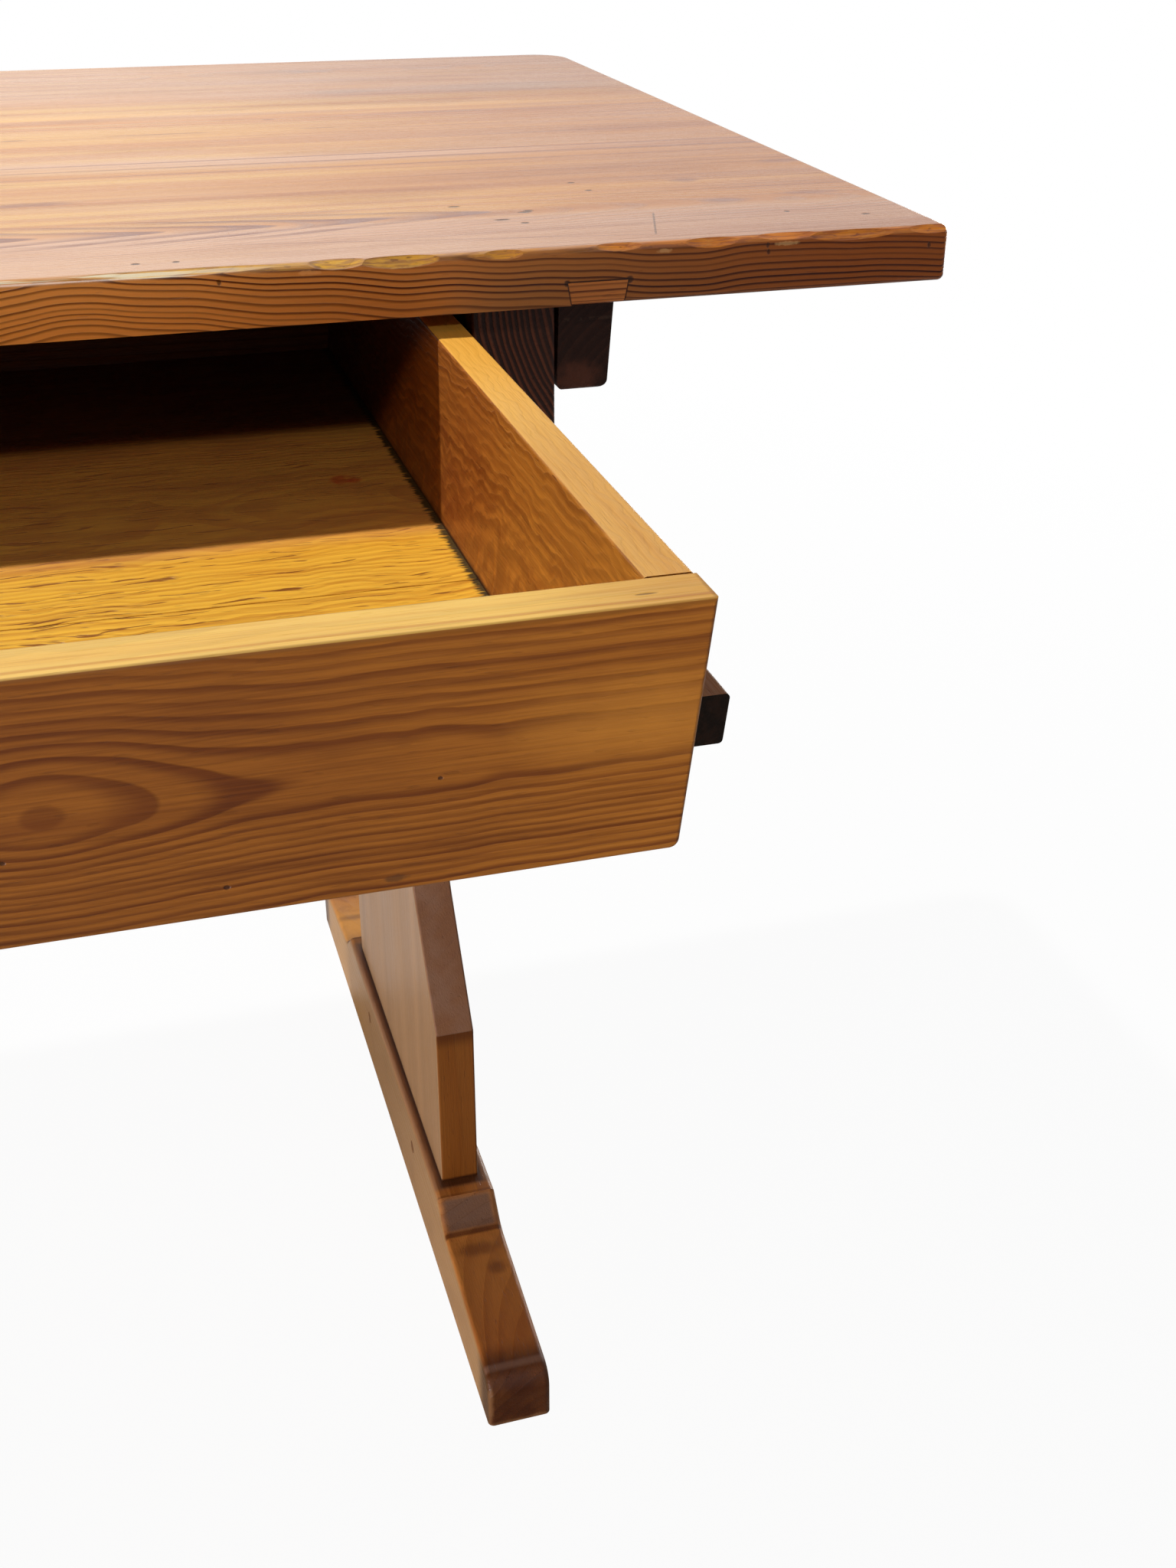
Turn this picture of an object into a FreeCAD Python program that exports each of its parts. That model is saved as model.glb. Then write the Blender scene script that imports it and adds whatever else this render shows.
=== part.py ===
import FreeCAD, Part
import os
import Sketcher

# Trestle table with a drawer, in pine. Millimetres, +Z up. X runs along the length, Y from the
# front edge of the top to the back one. The origin is on the floor, at the middle of the box that
# holds the table with its drawer standing open.

SIZES = (
    # the top
    ("top_height", 760, "floor to the upper surface"),
    ("top_length", 1200, "along X"),
    ("top_width", 672, "along Y"),
    ("top_thick", 26.5, "all three boards"),
    ("front_board", 264, "width of the front board"),
    ("middle_board", 166, "width of the middle board"),
    ("front_corner", 3.5, "radius of the two front corners"),
    ("back_corner", 28, "radius of the two back corners, worn rounder"),
    ("upper_arris", 4, "rounding of the upper edges"),
    ("lower_arris", 3, "rounding of the lower edges"),
    ("soft_arris", 1.6, "rounding of worn edges on the trestles and the drawer"),
    # battens in their dovetail slots
    ("batten_thick", 27, "along X"),
    ("batten_drop", 46.5, "below the top"),
    ("batten_taper", 2, "how much thinner it is at the bottom, on its outer side"),
    ("batten_round", 5, "rounding along its bottom"),
    ("batten_inset", 18, "from the edge of the top to the end of the batten"),
    ("batten_rake", 4.5, "how far its ends lean back, over the drop"),
    ("batten_gap", 2, "between batten and head rail"),
    ("tail_mouth", 25, "width of the dovetail at the underside"),
    ("tail_root", 29, "width of the dovetail inside the top"),
    ("tail_depth", 10.5, "depth of the slot"),
    ("joint_fit", 0.15, "clearance on each side of a joint"),
    # trestles
    ("end_overhang", 211.5, "from the end of the top to the middle of the trestle"),
    ("rail_thick", 40, "along X"),
    ("rail_height", 112, "along Z"),
    ("rail_inset", 18, "from the edge of the top to the end of the rail"),
    ("rail_end", 76, "height of the rail's upright end"),
    ("rail_sweep", 62, "length of the curve under the rail's end"),
    ("upright_thick", 26.5, "along X"),
    ("upright_width", 310, "along Y"),
    ("upright_set_in", 5.7, "of upright and foot, towards the middle of the table"),
    ("skirt", 128, "height of the straight part at either end of the upright"),
    ("waist", 176, "width at the narrowest place"),
    ("waist_height", 106, "height of the narrowest part, with its rounds"),
    ("waist_round", 70, "radius where the waist begins"),
    ("foot_thick", 42, "along X"),
    ("foot_length", 637, "along Y"),
    ("foot_height", 69.5, "at the pad that carries the upright"),
    ("pad_reach", 17, "of the pad beyond the upright"),
    ("step_run", 20, "length of the step beside the pad"),
    ("step_drop", 17.5, "height of the step beside the pad"),
    ("toe_height", 36.5, "at the end of the foot"),
    ("toe_round", 16, "radius over the toe"),
    ("foot_arris", 4, "rounding of the foot's edges and of the toe's corners"),
    ("tenon_thick", 13, "tenons of the upright"),
    ("tenon_shoulder", 30, "from the upright's edge to its tenon"),
    ("rail_tenon", 36, "length of the upper tenon"),
    ("foot_tenon", 46, "length of the lower tenon"),
    ("peg_width", 10, "diameter of every peg in the trestles"),
    ("peg_proud", 1.5, "how far peg ends stand out on the outer side"),
    ("batten_peg_depth", 20, "how deep the batten pegs go into the rail"),
    # stretcher
    ("stretcher_level", 352, "floor to its lower edge"),
    ("stretcher_height", 86, "along Z"),
    ("stretcher_thick", 32, "along Y"),
    ("through_height", 52, "height of the tenon that goes through the upright"),
    ("through_reach", 62, "how far it stands out beyond the upright"),
    ("tusk_thick", 12, "along Y"),
    ("tusk_length", 108, "along Z"),
    ("tusk_wide", 31, "at the upper end"),
    ("tusk_narrow", 21, "at the lower end"),
    ("tusk_relief", 2, "how far the slot runs into the upright's plane"),
    # drawer
    ("drawer_reach", 323, "drawer front ahead of the top's front edge"),
    ("drawer_length", 593, "front face to the back of the drawer"),
    ("drawer_play", 6, "between rail and drawer side at the rim"),
    ("rim_gap", 7, "between rim and top"),
    ("front_height", 86, "height of the drawer front"),
    ("front_thick", 22, "thickness of the drawer front"),
    ("cant_in", 10.3, "how far each end leans in over the front's height"),
    ("front_round", 3.5, "radius of the front's two lower corners"),
    ("side_thick", 17, "sides, measured along X"),
    ("back_thick", 17, "back board"),
    ("back_lower", 9, "back board below the rim"),
    ("floor_thick", 10, "floor boards"),
    ("floor_lift", 3, "floor above the lower edge of the front"),
    ("floor_let_in", 7, "depth of the groove that takes the floor"),
    ("floor_joint", 0.6, "open joint between floor boards"),
    ("tail_lap", 15, "how far the sides' dovetails reach into the front"),
    ("pin_narrow", 6, "pins between the dovetails, at the narrow side"),
    ("pin_wide", 11, "pins between the dovetails, at the wide side"),
    ("runner_drop", 44, "rim to the top of the runner strip"),
    ("runner_height", 18, "along Z"),
    ("runner_width", 19.2, "along X"),
    ("run_clearance", 0.3, "under the runner"),
    ("run_play", 1.8, "above and beside the runner"),
    ("stop_play", 1, "from the runner's end to the groove's end, drawer shut"),
    ("knob_width", 36, "diameter of the knob"),
    ("knob_neck", 17, "diameter of its neck"),
    ("knob_out", 30, "how far it stands out"),
    ("knob_head", 19, "length of its round head"),
    ("knob_tenon", 13, "diameter of its tenon through the front"),
)

# Places and sizes that follow from the driving ones.
PLACES = (
    ("under_z", "size.top_height - size.top_thick"),
    ("front_y", "(size.drawer_reach + size.knob_out - size.top_width) / 2"),
    ("centre_y", "place.front_y + size.top_width / 2"),
    ("back_board", "size.top_width - size.front_board - size.middle_board"),
    ("trestle_x", "size.top_length / 2 - size.end_overhang"),
    ("rail_in_x", "place.trestle_x - size.rail_thick / 2"),
    ("batten_x", "place.trestle_x + size.rail_thick / 2 + size.batten_gap + size.batten_thick / 2"),
    ("rail_length", "size.top_width - 2 * size.rail_inset"),
    ("rail_bottom_z", "place.under_z - size.rail_height"),
    ("batten_length", "size.top_width - 2 * size.batten_inset"),
    ("batten_peg_y", "place.batten_length / 2 - 95"),
    ("upright_x", "place.trestle_x - size.upright_set_in"),
    ("upright_height", "place.rail_bottom_z - size.foot_height"),
    ("tenon_width", "size.upright_width - 2 * size.tenon_shoulder"),
    ("peg_y", "place.tenon_width / 2 - 40"),
    ("rail_peg_z", "place.rail_bottom_z + size.rail_tenon / 2"),
    ("foot_peg_z", "size.foot_height - size.foot_tenon / 2"),
    ("pad_half", "size.upright_width / 2 + size.pad_reach"),
    ("face_x", "place.upright_x + size.upright_thick / 2"),
    ("through_z", "size.stretcher_level + (size.stretcher_height - size.through_height) / 2"),
    ("tusk_z", "place.through_z + (size.through_height - size.tusk_length) / 2"),
    ("tusk_taper", "(size.tusk_wide - size.tusk_narrow) / size.tusk_length"),
    ("drawer_y", "place.front_y - size.drawer_reach"),
    ("drawer_z", "place.under_z - size.rim_gap - size.front_height"),
    ("drawer_half", "place.rail_in_x - size.drawer_play"),
    ("cant", "size.cant_in / size.front_height"),
    ("floor_top", "size.floor_lift + size.floor_thick"),
    ("floor_half", "place.drawer_half - place.cant * (size.front_height - size.floor_lift)"),
    ("side_low_x", "place.drawer_half - place.cant * (size.front_height - place.floor_top)"),
    ("tail_pitch", "(size.front_height - place.floor_top) / 3"),
    ("back_y", "size.drawer_length - size.back_thick"),
    ("runner_top", "size.front_height - size.runner_drop"),
    ("runner_bottom", "place.runner_top - size.runner_height"),
    ("runner_top_x", "place.drawer_half - place.cant * size.runner_drop"),
    ("runner_low_x", "place.runner_top_x - place.cant * size.runner_height"),
    ("groove_depth", "place.runner_top_x + size.runner_width + size.run_play - place.rail_in_x"),
    ("groove_low", "place.drawer_z + place.runner_bottom - size.run_clearance - place.under_z"),
    ("groove_high", "place.drawer_z + place.runner_top + size.run_play - place.under_z"),
    ("groove_length", "size.drawer_length + size.stop_play"),
    ("floor_run", "(size.drawer_length - size.front_thick + size.floor_let_in) / 3"),
)

doc = FreeCAD.newDocument("TrestleTable")
size = doc.addObject("Spreadsheet::Sheet", "size")
for row, (name, number, _) in enumerate(SIZES, start=1):
    size.set(f"A{row}", name)
    size.set(f"B{row}", str(number))
    size.setAlias(f"B{row}", name)
place = doc.addObject("Spreadsheet::Sheet", "place")
for row, (name, formula) in enumerate(PLACES, start=1):
    place.set(f"A{row}", name)
    place.set(f"B{row}", "=" + formula)
    place.setAlias(f"B{row}", name)
doc.recompute()

SIDES = (("right", 1), ("left", -1))
nodes = []

# Scooped chips along the front upper arris: place along X, length, depth below the arris' round,
# and lean of the scoop from upright, in degrees.
CHIPS = (
    (592, 26, 0.9, 45), (549, 44, 1.0, 35), (517, 30, 0.8, 58), (479, 26, 1.0, 40),
    (434, 22, 0.8, 48), (380, 18, 0.9, 40), (333, 36, 1.5, 38), (305, 26, 1.3, 52),
    (236, 84, 0.7, 55), (120, 40, 0.9, 44), (38, 22, 1.1, 38), (-61, 54, 0.8, 50),
    (-170, 26, 1.2, 42), (-262, 70, 0.7, 48), (-355, 24, 1.0, 38), (-431, 46, 0.9, 52),
    (-520, 28, 1.2, 40), (-588, 30, 0.8, 45),
)


# ---- helpers ---------------------------------------------------------------------------------

def value(text):
    """The number that an expression on the two sheets gives."""
    return float(place.evalExpression(text))


def stand(thing, x="0", y="0", z="0"):
    """Put an object where three expressions say."""
    for axis, text in zip("xyz", (x, y, z)):
        thing.setExpression(f"Placement.Base.{axis}", text)


def new_body(label, x="0", y="0", z="0"):
    """An empty body that becomes the node of the same name."""
    body = doc.addObject("PartDesign::Body", label)
    body.Label = label
    stand(body, x, y, z)
    nodes.append(body)
    return body


def new_sketch(body, name, role, offset="0"):
    """A sketch on one of the body's origin planes, moved along the plane's normal."""
    sketch = body.newObject("Sketcher::SketchObject", name)
    base_plane = next(f for f in body.Origin.OriginFeatures if f.Role == role)
    sketch.AttachmentSupport = [(base_plane, "")]
    sketch.MapMode = "FlatFace"
    sketch.setExpression("AttachmentOffset.Base.z", offset)
    return sketch


def pin_point(sketch, geometry, end, x, y):
    """Tie one point of a sketch to two expressions."""
    for kind, text in (("DistanceX", x), ("DistanceY", y)):
        rule = Sketcher.Constraint(kind, -1, 1, geometry, end, value(text))
        index = sketch.addConstraint(rule)
        sketch.setExpression(f"Constraints[{index}]", text)


def outline(sketch, corners):
    """A closed outline of straight lines whose corners are pairs of expressions."""
    first = sketch.GeometryCount
    count = len(corners)
    spots = [FreeCAD.Vector(value(x), value(y), 0) for x, y in corners]
    for i in range(count):
        sketch.addGeometry(Part.LineSegment(spots[i], spots[(i + 1) % count]), False)
    for i, (x, y) in enumerate(corners):
        following = first + (i + 1) % count
        sketch.addConstraint(Sketcher.Constraint("Coincident", first + i, 2, following, 1))
        pin_point(sketch, first + i, 1, x, y)


def rectangle(sketch, low_x, high_x, low_y, high_y):
    outline(sketch, ((low_x, low_y), (high_x, low_y), (high_x, high_y), (low_x, high_y)))


def circle(sketch, x, y, radius):
    centre = FreeCAD.Vector(value(x), value(y), 0)
    normal = FreeCAD.Vector(0, 0, 1)
    index = sketch.addGeometry(Part.Circle(centre, normal, value(radius)), False)
    pin_point(sketch, index, 3, x, y)
    rule = sketch.addConstraint(Sketcher.Constraint("Radius", index, value(radius)))
    sketch.setExpression(f"Constraints[{rule}]", radius)


def pad(body, sketch, length, reverse=False, middle=False):
    feature = body.newObject("PartDesign::Pad", sketch.Name + "_pad")
    feature.Profile = sketch
    feature.setExpression("Length", length)
    feature.Reversed = reverse
    feature.Midplane = middle
    doc.recompute()
    return feature


def pocket(body, sketch, depth=None, reverse=False, middle=False):
    """Cut a sketch out of the body, all the way both ways when no depth is given."""
    before = body.Shape.Volume
    feature = body.newObject("PartDesign::Pocket", sketch.Name + "_cut")
    feature.Profile = sketch
    if depth is None:
        feature.Type = "ThroughAll"
        feature.Midplane = True
    else:
        feature.setExpression("Length", depth)
        feature.Reversed = reverse
        feature.Midplane = middle
    doc.recompute()
    if body.Shape.Volume > before - 1:
        raise RuntimeError(f"{feature.Name} cuts nothing")
    return feature


def edges_where(shape, test, along=None):
    """Names of the edges whose ends and middle pass a test and that lie along an axis, if given."""
    names = []
    for number, edge in enumerate(shape.Edges, start=1):
        middle = edge.valueAt((edge.FirstParameter + edge.LastParameter) / 2)
        spots = [vertex.Point for vertex in edge.Vertexes] + [middle]
        reach = spots[-2] - spots[0]
        if along and abs(getattr(reach, along)) < 0.999 * reach.Length:
            continue
        if all(test(spot) for spot in spots):
            names.append(f"Edge{number}")
    return names


def dress(body, kind, name, amount, test, along=None):
    """Fillet or chamfer the edges that pass a test."""
    base = body.Tip
    names = edges_where(base.Shape, test, along)
    if not names:
        raise RuntimeError(f"{name} finds no edge")
    feature = body.newObject(f"PartDesign::{kind}", name)
    feature.Base = (base, names)
    feature.setExpression("Radius" if kind == "Fillet" else "Size", amount)
    doc.recompute()
    if "Invalid" in feature.State:
        raise RuntimeError(f"{name} fails on {len(names)} edges")
    return feature


def near(a, b):
    return abs(a - b) < 0.01


# ---- the top ---------------------------------------------------------------------------------

def dovetail_section(x, fit="0"):
    """Four corners of the dovetail slot at a place along X, the underside being at 0."""
    mouth = f"(size.tail_mouth / 2 - {fit})"
    root = f"(size.tail_root / 2 - {fit})"
    depth = f"size.tail_depth - {fit}"
    return (
        (f"{x} - {mouth}", "0"),
        (f"{x} + {mouth}", "0"),
        (f"{x} + {root}", depth),
        (f"{x} - {root}", depth),
    )


def top_board(label, start, width, corner_y=None, corner=None):
    """One board of the top, with both dovetail slots across its underside."""
    body = new_body(label, "0", f"place.front_y + {start}", "place.under_z")
    face = new_sketch(body, label + "_face", "XY_Plane")
    rectangle(face, "-size.top_length / 2", "size.top_length / 2", "0", width)
    pad(body, face, "size.top_thick")
    slots = new_sketch(body, label + "_slots", "XZ_Plane")
    for _, side in SIDES:
        outline(slots, dovetail_section(f"{side} * place.batten_x"))
    pocket(body, slots)
    end_x = value("size.top_length / 2")
    high = value("size.top_thick")
    if corner:
        edge_y = value(corner_y)
        dress(body, "Fillet", label + "_corners", corner,
              lambda p: near(abs(p.x), end_x) and near(p.y, edge_y))
    joints = [value(y) for y in ("0", width) if y != corner_y]

    def rim(level):
        """Edges of one face, but not those that run along a joint with the next board."""
        return lambda p: near(p.z, level) and (
            near(abs(p.x), end_x) or all(p.y > y + 0.01 or p.y < y - 0.01 for y in joints))

    def on_outside(level):
        slot_x = value("place.batten_x")
        test = rim(level)
        return lambda p: test(p) and abs(abs(p.x) - slot_x) > value("size.tail_root")

    dress(body, "Fillet", label + "_upper_arris", "size.upper_arris", rim(high))
    dress(body, "Fillet", label + "_lower_arris", "size.lower_arris", on_outside(0))
    return body


def chip(board, number, x, length, depth, lean):
    """Scoop a chip out of the front upper arris with a cylinder that leans across it."""
    sine, cosine = f"sin({lean} deg)", f"cos({lean} deg)"
    radius = length ** 2 / (8 * depth)
    scoop = board.newObject("PartDesign::SubtractiveCylinder", f"chip_{number}")
    scoop.Radius = radius
    scoop.Height = 6 * value("size.upper_arris")
    scoop.Placement.Rotation = FreeCAD.Rotation(FreeCAD.Vector(1, 0, 0), -lean)
    round_off = f"size.upper_arris * ({sine} + {cosine} - 1)"
    out = f"({radius - depth} - {round_off})"
    stand(scoop, str(x), f"-{out} * {cosine} - 3 * size.upper_arris * {sine}",
          f"size.top_thick + {out} * {sine} - 3 * size.upper_arris * {cosine}")
    doc.recompute()


def batten(label, side):
    """Cross batten with its dovetail tongue; the ends lean back towards the bottom."""
    body = new_body(label, f"{side} * place.batten_x", "place.front_y + size.batten_inset",
                    "place.under_z")
    section = new_sketch(body, label + "_section", "XZ_Plane")
    inner = f"-1 * {side} * size.batten_thick / 2"
    outer = f"{side} * size.batten_thick / 2"
    low = "-size.batten_drop"
    tongue = dovetail_section("0", "size.joint_fit")
    from_outside = (1, 2, 3, 0) if side > 0 else (0, 3, 2, 1)
    outline(section, (
        (inner, low), (f"{outer} - {side} * size.batten_taper", low), (outer, "0"),
        *(tongue[corner] for corner in from_outside),
        (inner, "0")))
    pad(body, section, "place.batten_length", reverse=True)
    rake = new_sketch(body, label + "_rake", "YZ_Plane")
    below = f"{low} - 1"
    lean = f"size.batten_rake * (size.batten_drop + 1) / size.batten_drop"
    outline(rake, (("0", "0"), ("-1", below), (lean, below)))
    far = "place.batten_length"
    outline(rake, ((far, "0"), (f"{far} - {lean}", below), (f"{far} + 1", below)))
    pocket(body, rake)
    lowest = value(low)
    dress(body, "Fillet", label + "_arris", "size.batten_round", lambda p: near(p.z, lowest))
    pegs = new_sketch(body, label + "_peg_holes", "YZ_Plane")
    for way in (-1, 1):
        circle(pegs, f"{far} / 2 + {way} * place.batten_peg_y", f"{low} / 2", "size.peg_width / 2")
    pocket(body, pegs)


def slot_plug(label, side, back):
    """Dovetail plug between the end of a batten and the edge of the top."""
    start = "size.top_width - size.batten_inset" if back else "0"
    body = new_body(label, f"{side} * place.batten_x", f"place.front_y + {start}", "place.under_z")
    section = new_sketch(body, label + "_section", "XZ_Plane")
    outline(section, dovetail_section("0", "size.joint_fit"))
    pad(body, section, "size.batten_inset", reverse=True)
    outer = value("size.batten_inset") if back else 0
    dress(body, "Fillet", label + "_arris", "size.lower_arris",
          lambda p: near(p.z, 0) and near(p.y, outer))


# ---- trestles --------------------------------------------------------------------------------

def head_rail(label, side):
    """Rail under the top: cyma end, mortise from below, and the drawer's stopped groove."""
    body = new_body(label, f"{side} * place.trestle_x", "place.front_y + size.rail_inset",
                    "place.under_z")
    profile = new_sketch(body, label + "_profile", "YZ_Plane")
    far = "place.rail_length"
    low = "-size.rail_height"
    outline(profile, (
        ("0", "0"), ("0", "-size.rail_end"), ("size.rail_sweep", low),
        (f"{far} - size.rail_sweep", low), (far, "-size.rail_end"), (far, "0")))
    pad(body, profile, "size.rail_thick", middle=True)
    length = value(far)
    end_z = value("-size.rail_end")
    sweep_y = value("size.rail_sweep")
    low_z = value(low)
    dress(body, "Fillet", label + "_ends", "size.rail_sweep / 3",
          lambda p: near(p.z, end_z) and (near(p.y, 0) or near(p.y, length)), along="x")
    dress(body, "Fillet", label + "_sweeps", "size.rail_sweep",
          lambda p: near(p.z, low_z) and (near(p.y, sweep_y) or near(p.y, length - sweep_y)),
          along="x")
    half_x = value("size.rail_thick / 2")
    dress(body, "Fillet", label + "_arris", "size.soft_arris",
          lambda p: near(abs(p.x), half_x) and p.z < -1e-3)
    mortise = new_sketch(body, label + "_mortise", "XY_Plane", low)
    middle_x = f"(-1 * {side} * size.upright_set_in)"
    half = "(size.tenon_thick / 2 + size.joint_fit)"
    rectangle(mortise, f"{middle_x} - {half}", f"{middle_x} + {half}",
              f"{far} / 2 - place.tenon_width / 2 - size.joint_fit",
              f"{far} / 2 + place.tenon_width / 2 + size.joint_fit")
    pocket(body, mortise, "size.rail_tenon + size.joint_fit", reverse=True)
    groove = new_sketch(body, label + "_groove", "XZ_Plane")
    inner = f"(-1 * {side} * size.rail_thick / 2)"
    rectangle(groove, inner, f"{inner} + {side} * place.groove_depth",
              "place.groove_low", "place.groove_high")
    pocket(body, groove, "place.groove_length")
    pegs = new_sketch(body, label + "_peg_holes", "YZ_Plane")
    for way in (-1, 1):
        circle(pegs, f"{far} / 2 + {way} * place.peg_y", "place.rail_peg_z - place.under_z",
               "size.peg_width / 2")
    pocket(body, pegs)
    blind = new_sketch(body, label + "_batten_peg_holes", "YZ_Plane", f"{side} * size.rail_thick / 2")
    for way in (-1, 1):
        circle(blind, f"{far} / 2 + {way} * place.batten_peg_y", "-size.batten_drop / 2",
               "size.peg_width / 2")
    pocket(body, blind, "size.batten_peg_depth", reverse=side < 0)


def upright(label, side):
    """Waisted board with a tenon at each end and the mortise of the stretcher."""
    body = new_body(label, f"{side} * place.upright_x", "place.centre_y", "size.foot_height")
    high = "place.upright_height"
    wide = "size.upright_width / 2"
    slim = "size.waist / 2"
    right_side = (
        (wide, "0"), (wide, "size.skirt"),
        (slim, f"({high} - size.waist_height) / 2"), (slim, f"({high} + size.waist_height) / 2"),
        (wide, f"{high} - size.skirt"), (wide, high))
    left_side = tuple((f"-{y}", z) for y, z in reversed(right_side))
    profile = new_sketch(body, label + "_profile", "YZ_Plane")
    outline(profile, right_side + left_side)
    pad(body, profile, "size.upright_thick", middle=True)
    slim_y = value(slim)
    dress(body, "Fillet", label + "_waist", "size.waist_round",
          lambda p: near(abs(p.y), slim_y), along="x")
    half_x = value("size.upright_thick / 2")
    dress(body, "Fillet", label + "_arris", "size.soft_arris",
          lambda p: near(abs(p.x), half_x) and abs(p.y) > 1)
    for name, level, length, downward in (
            ("foot", "0", "size.foot_tenon", True), ("rail", high, "size.rail_tenon", False)):
        tenon = new_sketch(body, f"{label}_{name}_tenon", "XY_Plane", level)
        rectangle(tenon, "-size.tenon_thick / 2", "size.tenon_thick / 2",
                  "-place.tenon_width / 2", "place.tenon_width / 2")
        pad(body, tenon, length, reverse=downward)
    mortise = new_sketch(body, label + "_mortise", "YZ_Plane")
    half = "(size.stretcher_thick / 2 + size.joint_fit)"
    level = "(place.through_z - size.foot_height)"
    rectangle(mortise, f"-{half}", half, f"{level} - size.joint_fit",
              f"{level} + size.through_height + size.joint_fit")
    pocket(body, mortise)
    pegs = new_sketch(body, label + "_peg_holes", "YZ_Plane")
    for way in (-1, 1):
        for level in ("place.rail_peg_z", "place.foot_peg_z"):
            circle(pegs, f"{way} * place.peg_y", f"{level} - size.foot_height",
                   "size.peg_width / 2")
    pocket(body, pegs)


def foot(label, side):
    """Sled foot: pad, small step, long slope and rounded toe, the same to front and back."""
    body = new_body(label, f"{side} * place.upright_x", "place.centre_y", "0")
    front_half = (
        ("size.foot_length / 2", "0"),
        ("size.foot_length / 2", "size.toe_height"),
        ("place.pad_half + size.step_run", "size.foot_height - size.step_drop"),
        ("place.pad_half", "size.foot_height"),
    )
    profile = new_sketch(body, label + "_profile", "YZ_Plane")
    outline(profile, front_half + tuple((f"-({y})", z) for y, z in reversed(front_half)))
    pad(body, profile, "size.foot_thick", middle=True)
    end_y = value("size.foot_length / 2")
    toe_z = value("size.toe_height")
    half_x = value("size.foot_thick / 2")
    step_y = value("place.pad_half + size.step_run")
    dress(body, "Fillet", label + "_toes", "size.toe_round",
          lambda p: near(abs(p.y), end_y) and near(p.z, toe_z), along="x")
    dress(body, "Fillet", label + "_steps", "size.toe_round * 1.5",
          lambda p: near(abs(p.y), step_y), along="x")
    dress(body, "Fillet", label + "_arris", "size.foot_arris",
          lambda p: near(abs(p.x), half_x) and (p.z > 0.5 or near(abs(p.y), end_y)))
    mortise = new_sketch(body, label + "_mortise", "XY_Plane", "size.foot_height")
    half = "(size.tenon_thick / 2 + size.joint_fit)"
    rectangle(mortise, f"-{half}", half,
              "-place.tenon_width / 2 - size.joint_fit", "place.tenon_width / 2 + size.joint_fit")
    pocket(body, mortise, "size.foot_tenon + size.joint_fit")
    pegs = new_sketch(body, label + "_peg_holes", "YZ_Plane")
    for way in (-1, 1):
        circle(pegs, f"{way} * place.peg_y", "place.foot_peg_z", "size.peg_width / 2")
    pocket(body, pegs)


def peg_group(label, places, length, start_x):
    """Like pegs of one joint, as a group of separate solids lying along X."""
    pegs = []
    for side_name, side in SIDES:
        for number, (y, z) in enumerate(places, start=1):
            peg = doc.addObject("Part::Cylinder", f"{label}_{side_name}_{number}")
            peg.setExpression("Radius", "size.peg_width / 2 - size.joint_fit")
            peg.setExpression("Height", length)
            peg.Placement.Rotation = FreeCAD.Rotation(FreeCAD.Vector(0, 1, 0), 90 * side)
            stand(peg, f"{side} * ({start_x})", y, z)
            pegs.append(peg)
    group = doc.addObject("Part::Compound", label)
    group.Label = label
    group.Links = pegs
    nodes.append(group)


def stretcher():
    """Rail between the trestles; its tenons go through the uprights and are slotted for tusks."""
    body = new_body("stretcher", "0", "place.centre_y", "0")
    inner = "(place.upright_x - size.upright_thick / 2)"
    tip = "(place.face_x + size.through_reach)"
    low = "size.stretcher_level"
    high = f"({low} + size.stretcher_height)"
    tenon_high = "(place.through_z + size.through_height)"
    profile = new_sketch(body, "stretcher_profile", "XZ_Plane")
    right_side = ((inner, low), (inner, "place.through_z"), (tip, "place.through_z"),
                  (tip, tenon_high), (inner, tenon_high), (inner, high))
    outline(profile, right_side + tuple((f"-1 * {x}", z) for x, z in reversed(right_side)))
    pad(body, profile, "size.stretcher_thick", middle=True)
    slots = new_sketch(body, "stretcher_slots", "XZ_Plane")
    for _, side in SIDES:
        outline(slots, (
            (f"{side} * (place.face_x - size.tusk_relief)", "place.through_z - 1"),
            (f"{side} * {tusk_outer('place.through_z - 1')}", "place.through_z - 1"),
            (f"{side} * {tusk_outer(tenon_high + ' + 1')}", f"{tenon_high} + 1"),
            (f"{side} * (place.face_x - size.tusk_relief)", f"{tenon_high} + 1")))
    pocket(body, slots, "size.tusk_thick + 2 * size.joint_fit", middle=True)
    tip_x = value(tip)
    dress(body, "Chamfer", "stretcher_tips", "size.lower_arris", lambda p: near(abs(p.x), tip_x))
    levels = (value(low), value(high))
    dress(body, "Fillet", "stretcher_arris", "size.soft_arris",
          lambda p: near(p.z, levels[0]) or near(p.z, levels[1]), along="x")


def tusk_outer(level):
    """How far out the sloping side of a tusk is at a height."""
    return f"(place.face_x + size.tusk_narrow + place.tusk_taper * ({level} - place.tusk_z))"


def tusk(label, side):
    """Wedge that draws the stretcher's shoulder up to the upright."""
    body = new_body(label, "0", "place.centre_y", "0")
    high = "(place.tusk_z + size.tusk_length)"
    profile = new_sketch(body, label + "_profile", "XZ_Plane")
    outline(profile, (
        (f"{side} * place.face_x", "place.tusk_z"),
        (f"{side} * {tusk_outer('place.tusk_z')}", "place.tusk_z"),
        (f"{side} * {tusk_outer(high)}", high),
        (f"{side} * place.face_x", high)))
    pad(body, profile, "size.tusk_thick", middle=True)
    top_z = value(high)
    dress(body, "Chamfer", label + "_crown", "size.lower_arris", lambda p: near(p.z, top_z))


# ---- drawer ----------------------------------------------------------------------------------

def in_drawer(label):
    """A body whose frame is the drawer's: front face at y = 0, front's lower edge at z = 0."""
    return new_body(label, "0", "place.drawer_y", "place.drawer_z")


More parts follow.
